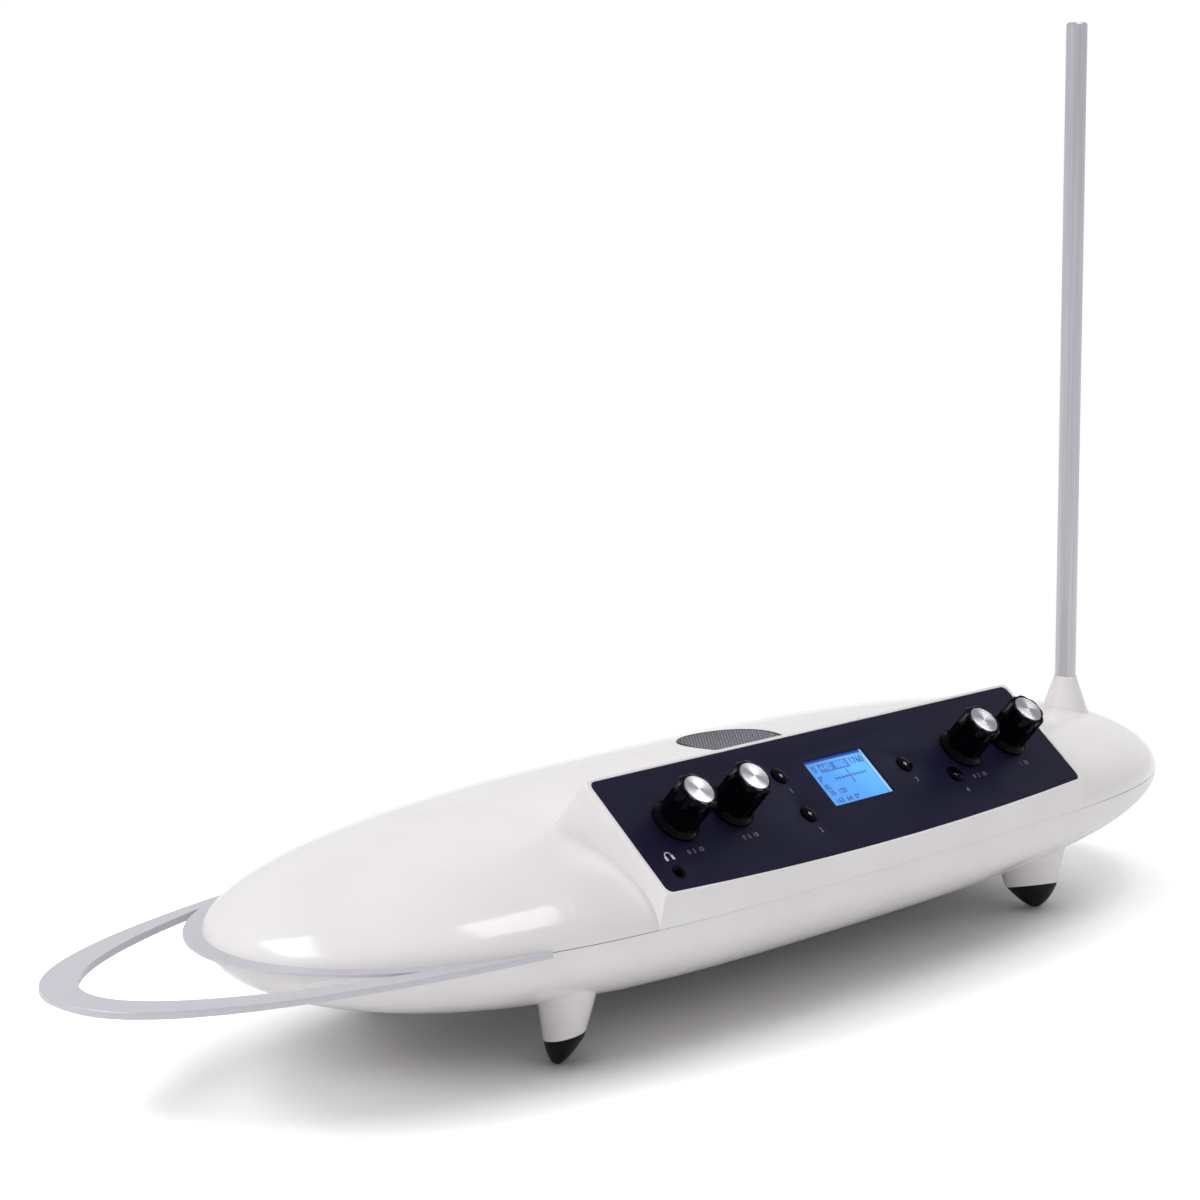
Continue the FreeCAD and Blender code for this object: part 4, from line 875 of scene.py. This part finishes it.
# %% Printed marks on the panel
INK_THICKNESS = 0.02
FIGURE_HEIGHT, SMALL_HEIGHT = 2.6, 2.21
KNOB_BELOW = 15.7     # how far a knob's figures stand below its middle
FIGURES = {"scale_button": ("1", 9.0), "root_button": ("2", 9.3), "setup_button": ("3", 9.5),
           "effect_button": ("4", 9.8), "volume_knob": ("0  5  10", KNOB_BELOW),
           "pitch_correction_knob": ("0  5  10", KNOB_BELOW), "amount_knob": ("0  5  10", KNOB_BELOW),
           "presets_knob": ("1  32", KNOB_BELOW)}


def print_on_panel(name, mesh, across, up, finish="ink"):
    mesh.transform(panel_place(across, up, PANEL_HIGH.z + INK_THICKNESS * MM))
    return finish_piece(name, mesh, "instrument", "panel", finish=finish)


for node, (text, below) in FIGURES.items():
    across, up = centre_of(node)
    name, kind = node.rsplit("_", 1)
    figures = figure_mesh(text, SMALL_HEIGHT if kind == "knob" else FIGURE_HEIGHT, INK_THICKNESS)
    print_on_panel("print_" + name, figures, across, up - below * MM)
print("printed", len(FIGURES), "figures")

# %% [markdown]
# The pictogram over the headphone socket is a head band with two ear pads: one flat arc and
# two plain blocks, in a denser ink.

# %% Headphone pictogram
PICTOGRAM_ABOVE = 8.2                 # its middle over the socket's, in millimetres
BAND_RADIUS, BAND_WIDTH = 1.8, 0.45
PADS = [(-2.6, -2.2, 1.4, 2.2), (1.2, -2.2, 1.4, 2.2)]


def band_mesh(steps=16):
    """Flat half ring, open at its foot."""
    work = bmesh.new()
    layers = []
    for z in (0, INK_THICKNESS * MM):
        inner_edge, outer_edge = [], []
        for i in range(steps + 1):
            angle = math.pi * i / steps
            for edge, reach in ((inner_edge, BAND_RADIUS - BAND_WIDTH / 2),
                                (outer_edge, BAND_RADIUS + BAND_WIDTH / 2)):
                edge.append(work.verts.new((reach * MM * math.cos(angle), reach * MM * math.sin(angle), z)))
        layers.append((inner_edge, outer_edge))
    (low_in, low_out), (top_in, top_out) = layers
    for i in range(steps):
        work.faces.new((low_in[i], low_in[i + 1], low_out[i + 1], low_out[i]))
        work.faces.new((top_in[i], top_out[i], top_out[i + 1], top_in[i + 1]))
        work.faces.new((low_out[i], low_out[i + 1], top_out[i + 1], top_out[i]))
        work.faces.new((low_in[i + 1], low_in[i], top_in[i], top_in[i + 1]))
    for i in (0, steps):
        work.faces.new((low_in[i], low_out[i], top_out[i], top_in[i]))
    bmesh.ops.recalc_face_normals(work, faces=work.faces)
    return finished_mesh(work, "band")


across, up = centre_of("headphone_jack")
up += PICTOGRAM_ABOVE * MM
print_on_panel("print_headphone_band", band_mesh(), across, up, "white_ink")
print_on_panel("print_headphone_pads", strips_mesh("headphone_pads", PADS, INK_THICKNESS), across, up,
               "white_ink")

# %% [markdown]
# The object stands on a plain pale floor in a white studio. Near the object the floor is a
# painted board that keeps the shadow; to the camera, shade is also painted into its colour where
# the object is near, which deepens that shadow. Further out it fades, where it is looked at or
# mirrored, into the same white as the backdrop, so there is no horizon. The light on the object
# stays at a plain level: the white comes from the colour of floor and backdrop.

# %% Floor
FLOOR_SIZE = 8.0                      # metres
FADE_START, FADE_END = 0.5, 0.85      # metres from the middle
PAINT = 0.94, 0.96                    # the board's real colour wanders between these
SEEN_WHITE = 1.3                      # its colour to the camera
CORNER_REACH = 0.12                   # how near the object must be for the painted shade to darken the board
DARKEST, WIDE_OPEN = 0.55, 0.75       # share of that colour in a corner; openness that keeps it all


def pale_floor():
    """Matt painted board, white to the camera, with its shadow near the object deepened by painted shade."""
    material, tree = blank_material("matt_painted_board")
    ray = add(tree, "LightPath").outputs
    paint = rescaled(tree, grain(tree, 8, 3.0), 0.0, 1.0, *PAINT)
    # Painted shade: to the camera, the board's colour darkens where the ambient occlusion finds the object
    # near.
    openness = add(tree, "AmbientOcclusion", {"Distance": CORNER_REACH}).outputs["AO"]
    seen = reckon(tree, "MULTIPLY", rescaled(tree, openness, 0.0, WIDE_OPEN, DARKEST, 1.0), SEEN_WHITE)
    level = add(tree, "Mix", {"Factor": ray["Is Camera Ray"], "A": paint, "B": seen})
    grey = add(tree, "CombineColor",
               dict.fromkeys(("Red", "Green", "Blue"), level.outputs["Result"]))
    board = add(tree, "BsdfDiffuse", {"Color": grey.outputs["Color"]})
    away = add(tree, "VectorMath", {0: own_place(tree)}, operation="LENGTH")
    far = rescaled(tree, away.outputs["Value"], FADE_START, FADE_END, 0.0, 1.0,
                   interpolation_type="SMOOTHSTEP")
    looked_at = reckon(tree, "MAXIMUM", ray["Is Camera Ray"], ray["Is Glossy Ray"])
    looked_at = reckon(tree, "MAXIMUM", looked_at, ray["Is Transmission Ray"])
    white = add(tree, "Emission", {"Color": linear("FFFFFF"), "Strength": 1.0})
    mixed = add(tree, "MixShader", {0: reckon(tree, "MULTIPLY", far, looked_at),
                                              1: board.outputs["BSDF"], 2: white.outputs["Emission"]})
    add(tree, "OutputMaterial", {"Surface": mixed.outputs["Shader"]})
    return material


floor_mesh = bpy.data.meshes.new("floor")
half = FLOOR_SIZE / 2
corners = [(-half, -half, 0), (half, -half, 0), (half, half, 0), (-half, half, 0)]
floor_mesh.from_pydata(corners, [], [(0, 1, 2, 3)])
floor_mesh.materials.append(pale_floor())
floor = shown("floor", floor_mesh)
print("floor", FLOOR_SIZE, "m")

# %% [markdown]
# The world is white where the camera or glass looks at it. Glossy surfaces see a studio: a
# pale backdrop low behind the object and a dimmer ceiling, which keeps black knobs black and
# gives metal its contrast. It lights the scene at a quieter level still.

# %% World
BRIGHT_SIDE = (0.55, 0.62, -0.56)     # direction towards the pale lower end of the backdrop
CEILING_ENDS, BACKDROP_STARTS = -0.1, 0.6         # cosines to that direction
CEILING, BACKDROP = 0.5, 0.8          # how white each is in glossy surfaces
WORLD_LIGHT = 0.27

world = bpy.data.worlds.new("studio")
bpy.context.scene.world = world
world.use_nodes = True
sky = world.node_tree
sky.nodes.clear()


def glow(colour, strength):
    return add(sky, "Background", {"Color": linear(colour), "Strength": strength}).outputs[0]


def chosen(choice, otherwise, then):
    """The first glow where choice is 0, the second where it is 1."""
    return add(sky, "MixShader", {0: choice, 1: otherwise, 2: then}).outputs["Shader"]


ray = add(sky, "LightPath").outputs
gaze = add(sky, "TexCoord")
towards = add(sky, "VectorMath", {0: gaze.outputs["Generated"], 1: BRIGHT_SIDE},
              operation="DOT_PRODUCT")
studio = rescaled(sky, towards.outputs["Value"], CEILING_ENDS, BACKDROP_STARTS, CEILING, BACKDROP)
clear = reckon(sky, "MAXIMUM", ray["Is Camera Ray"], ray["Is Transmission Ray"])
lit = chosen(ray["Is Glossy Ray"], glow("F4F4F6", WORLD_LIGHT), glow("FFFFFF", studio))
add(sky, "OutputWorld", {"Surface": chosen(clear, lit, glow("FFFFFF", 1.0))})
print("world nodes", len(sky.nodes))

# %% [markdown]
# Two big soft lamps hang over the object. Their mirror images are the two long highlights on the
# dome, so each stands where the dome reflects it to the camera. The fills give light but no
# mirror images. Two smaller lamps light only the knobs and buttons: one draws the bright fan on
# the turned caps, the other the sparks on the black parts, which the big lamps would grey. The
# lamps' places and sizes are in metres.

# %% Lamps


def softbox(name, place, target, size, watts, roll=0.0, mirrored=False, only=(), spared=()):
    """A flat rectangular lamp that faces its target, turned about its own axis by roll degrees.

    Only a mirrored lamp shows in reflections. It lights nothing but the pieces in only, if any are
    given, and none of the pieces in spared.
    """
    lamp = bpy.data.lights.new(name, "AREA")
    lamp.shape = "RECTANGLE"
    lamp.size, lamp.size_y = size
    lamp.energy = watts
    holder = shown(name, lamp)
    holder.visible_camera = False
    holder.visible_glossy = mirrored
    if only or spared:
        group = bpy.data.collections.new(name + "_lights")
        for piece in only or spared:
            group.objects.link(piece)
        for entry in group.collection_objects:
            entry.light_linking.link_state = "INCLUDE" if only else "EXCLUDE"
        holder.light_linking.receiver_collection = group
    facing = (Vector(target) - Vector(place)).to_track_quat("-Z", "Y").to_matrix()
    turned = facing @ Matrix.Rotation(math.radians(roll), 3, "Z")
    holder.matrix_world = Matrix.Translation(place) @ turned.to_4x4()
    return holder


MIDDLE = (0.0, 0.0, 0.07)
discs = [o for o in bpy.data.objects if o.name.endswith("_knob_disc")]
black_parts = [o for o in bpy.data.objects if o.name.endswith(("_knob_body", "_button_dome"))]
small_parts = discs + black_parts
FILLS = [("fill_left", (-1.4, 0.1, 1.0), (0.8, 0.6), 9.0), ("fill_right", (1.6, 0.1, 0.8), (0.8, 0.6), 11.8),
         ("fill_front_low", (0.1, -1.7, 0.15), (1.4, 0.25), 2.9),
         ("fill_left_low", (-1.2, -1.1, 0.12), (1.0, 0.2), 1.2),
         ("fill_rear_right", (1.2, 1.2, 0.9), (0.8, 0.6), 1.4),
         ("fill_top", (0.0, 0.0, 1.9), (1.2, 1.2), 3.0)]
softbox("lamp_over_front", (0.30, -0.46, 1.44), (-0.17, -0.07, 0.07), (0.72, 0.42), 3.6, roll=28,
        mirrored=True, spared=small_parts)
softbox("lamp_over_rear", (-0.75, 0.55, 1.36), (-0.24, -0.02, 0.06), (1.15, 0.5), 7.2, mirrored=True,
        spared=small_parts)
for name, place, size, watts in FILLS:
    softbox(name, place, MIDDLE, size, watts)
softbox("lamp_on_discs", (0.85, -0.62, 1.02), MIDDLE, (0.55, 0.55), 5.5, mirrored=True, only=discs)
softbox("lamp_on_knobs", (0.85, -0.50, 1.08), MIDDLE, (0.34, 0.34), 11.0, mirrored=True, only=black_parts)

# %% [markdown]
# The camera stands to the left and in front, a little above the instrument, with a long lens and
# a slight roll. Its place is given as an aim point, a direction and a distance, which is easier
# to read and to change than a matrix.

# %% Camera
AIM = Vector((-42.148, 1.726, 177.91)) * MM
AZIMUTH, ELEVATION, ROLL = -45.929, 8.93, -0.437
DISTANCE = 1252.68 * MM
LENS, SENSOR_WIDTH = 85.709, 36.0


def camera():
    data = bpy.data.cameras.new("camera")
    data.sensor_width = SENSOR_WIDTH
    data.lens = LENS
    data.clip_start, data.clip_end = 0.05, 50
    holder = shown("camera", data)
    a, e = math.radians(AZIMUTH), math.radians(ELEVATION)
    away = Vector((math.cos(e) * math.sin(a), -math.cos(e) * math.cos(a), math.sin(e)))
    turn = (-away).to_track_quat("-Z", "Y").to_matrix() @ Matrix.Rotation(math.radians(ROLL), 3, "Z")
    holder.matrix_world = Matrix.Translation(AIM + away * DISTANCE) @ turn.to_4x4()
    return holder


bpy.context.scene.camera = camera()
bpy.context.scene.view_settings.view_transform = "Standard"
print("camera at", [round(value, 4) for value in bpy.context.scene.camera.location])
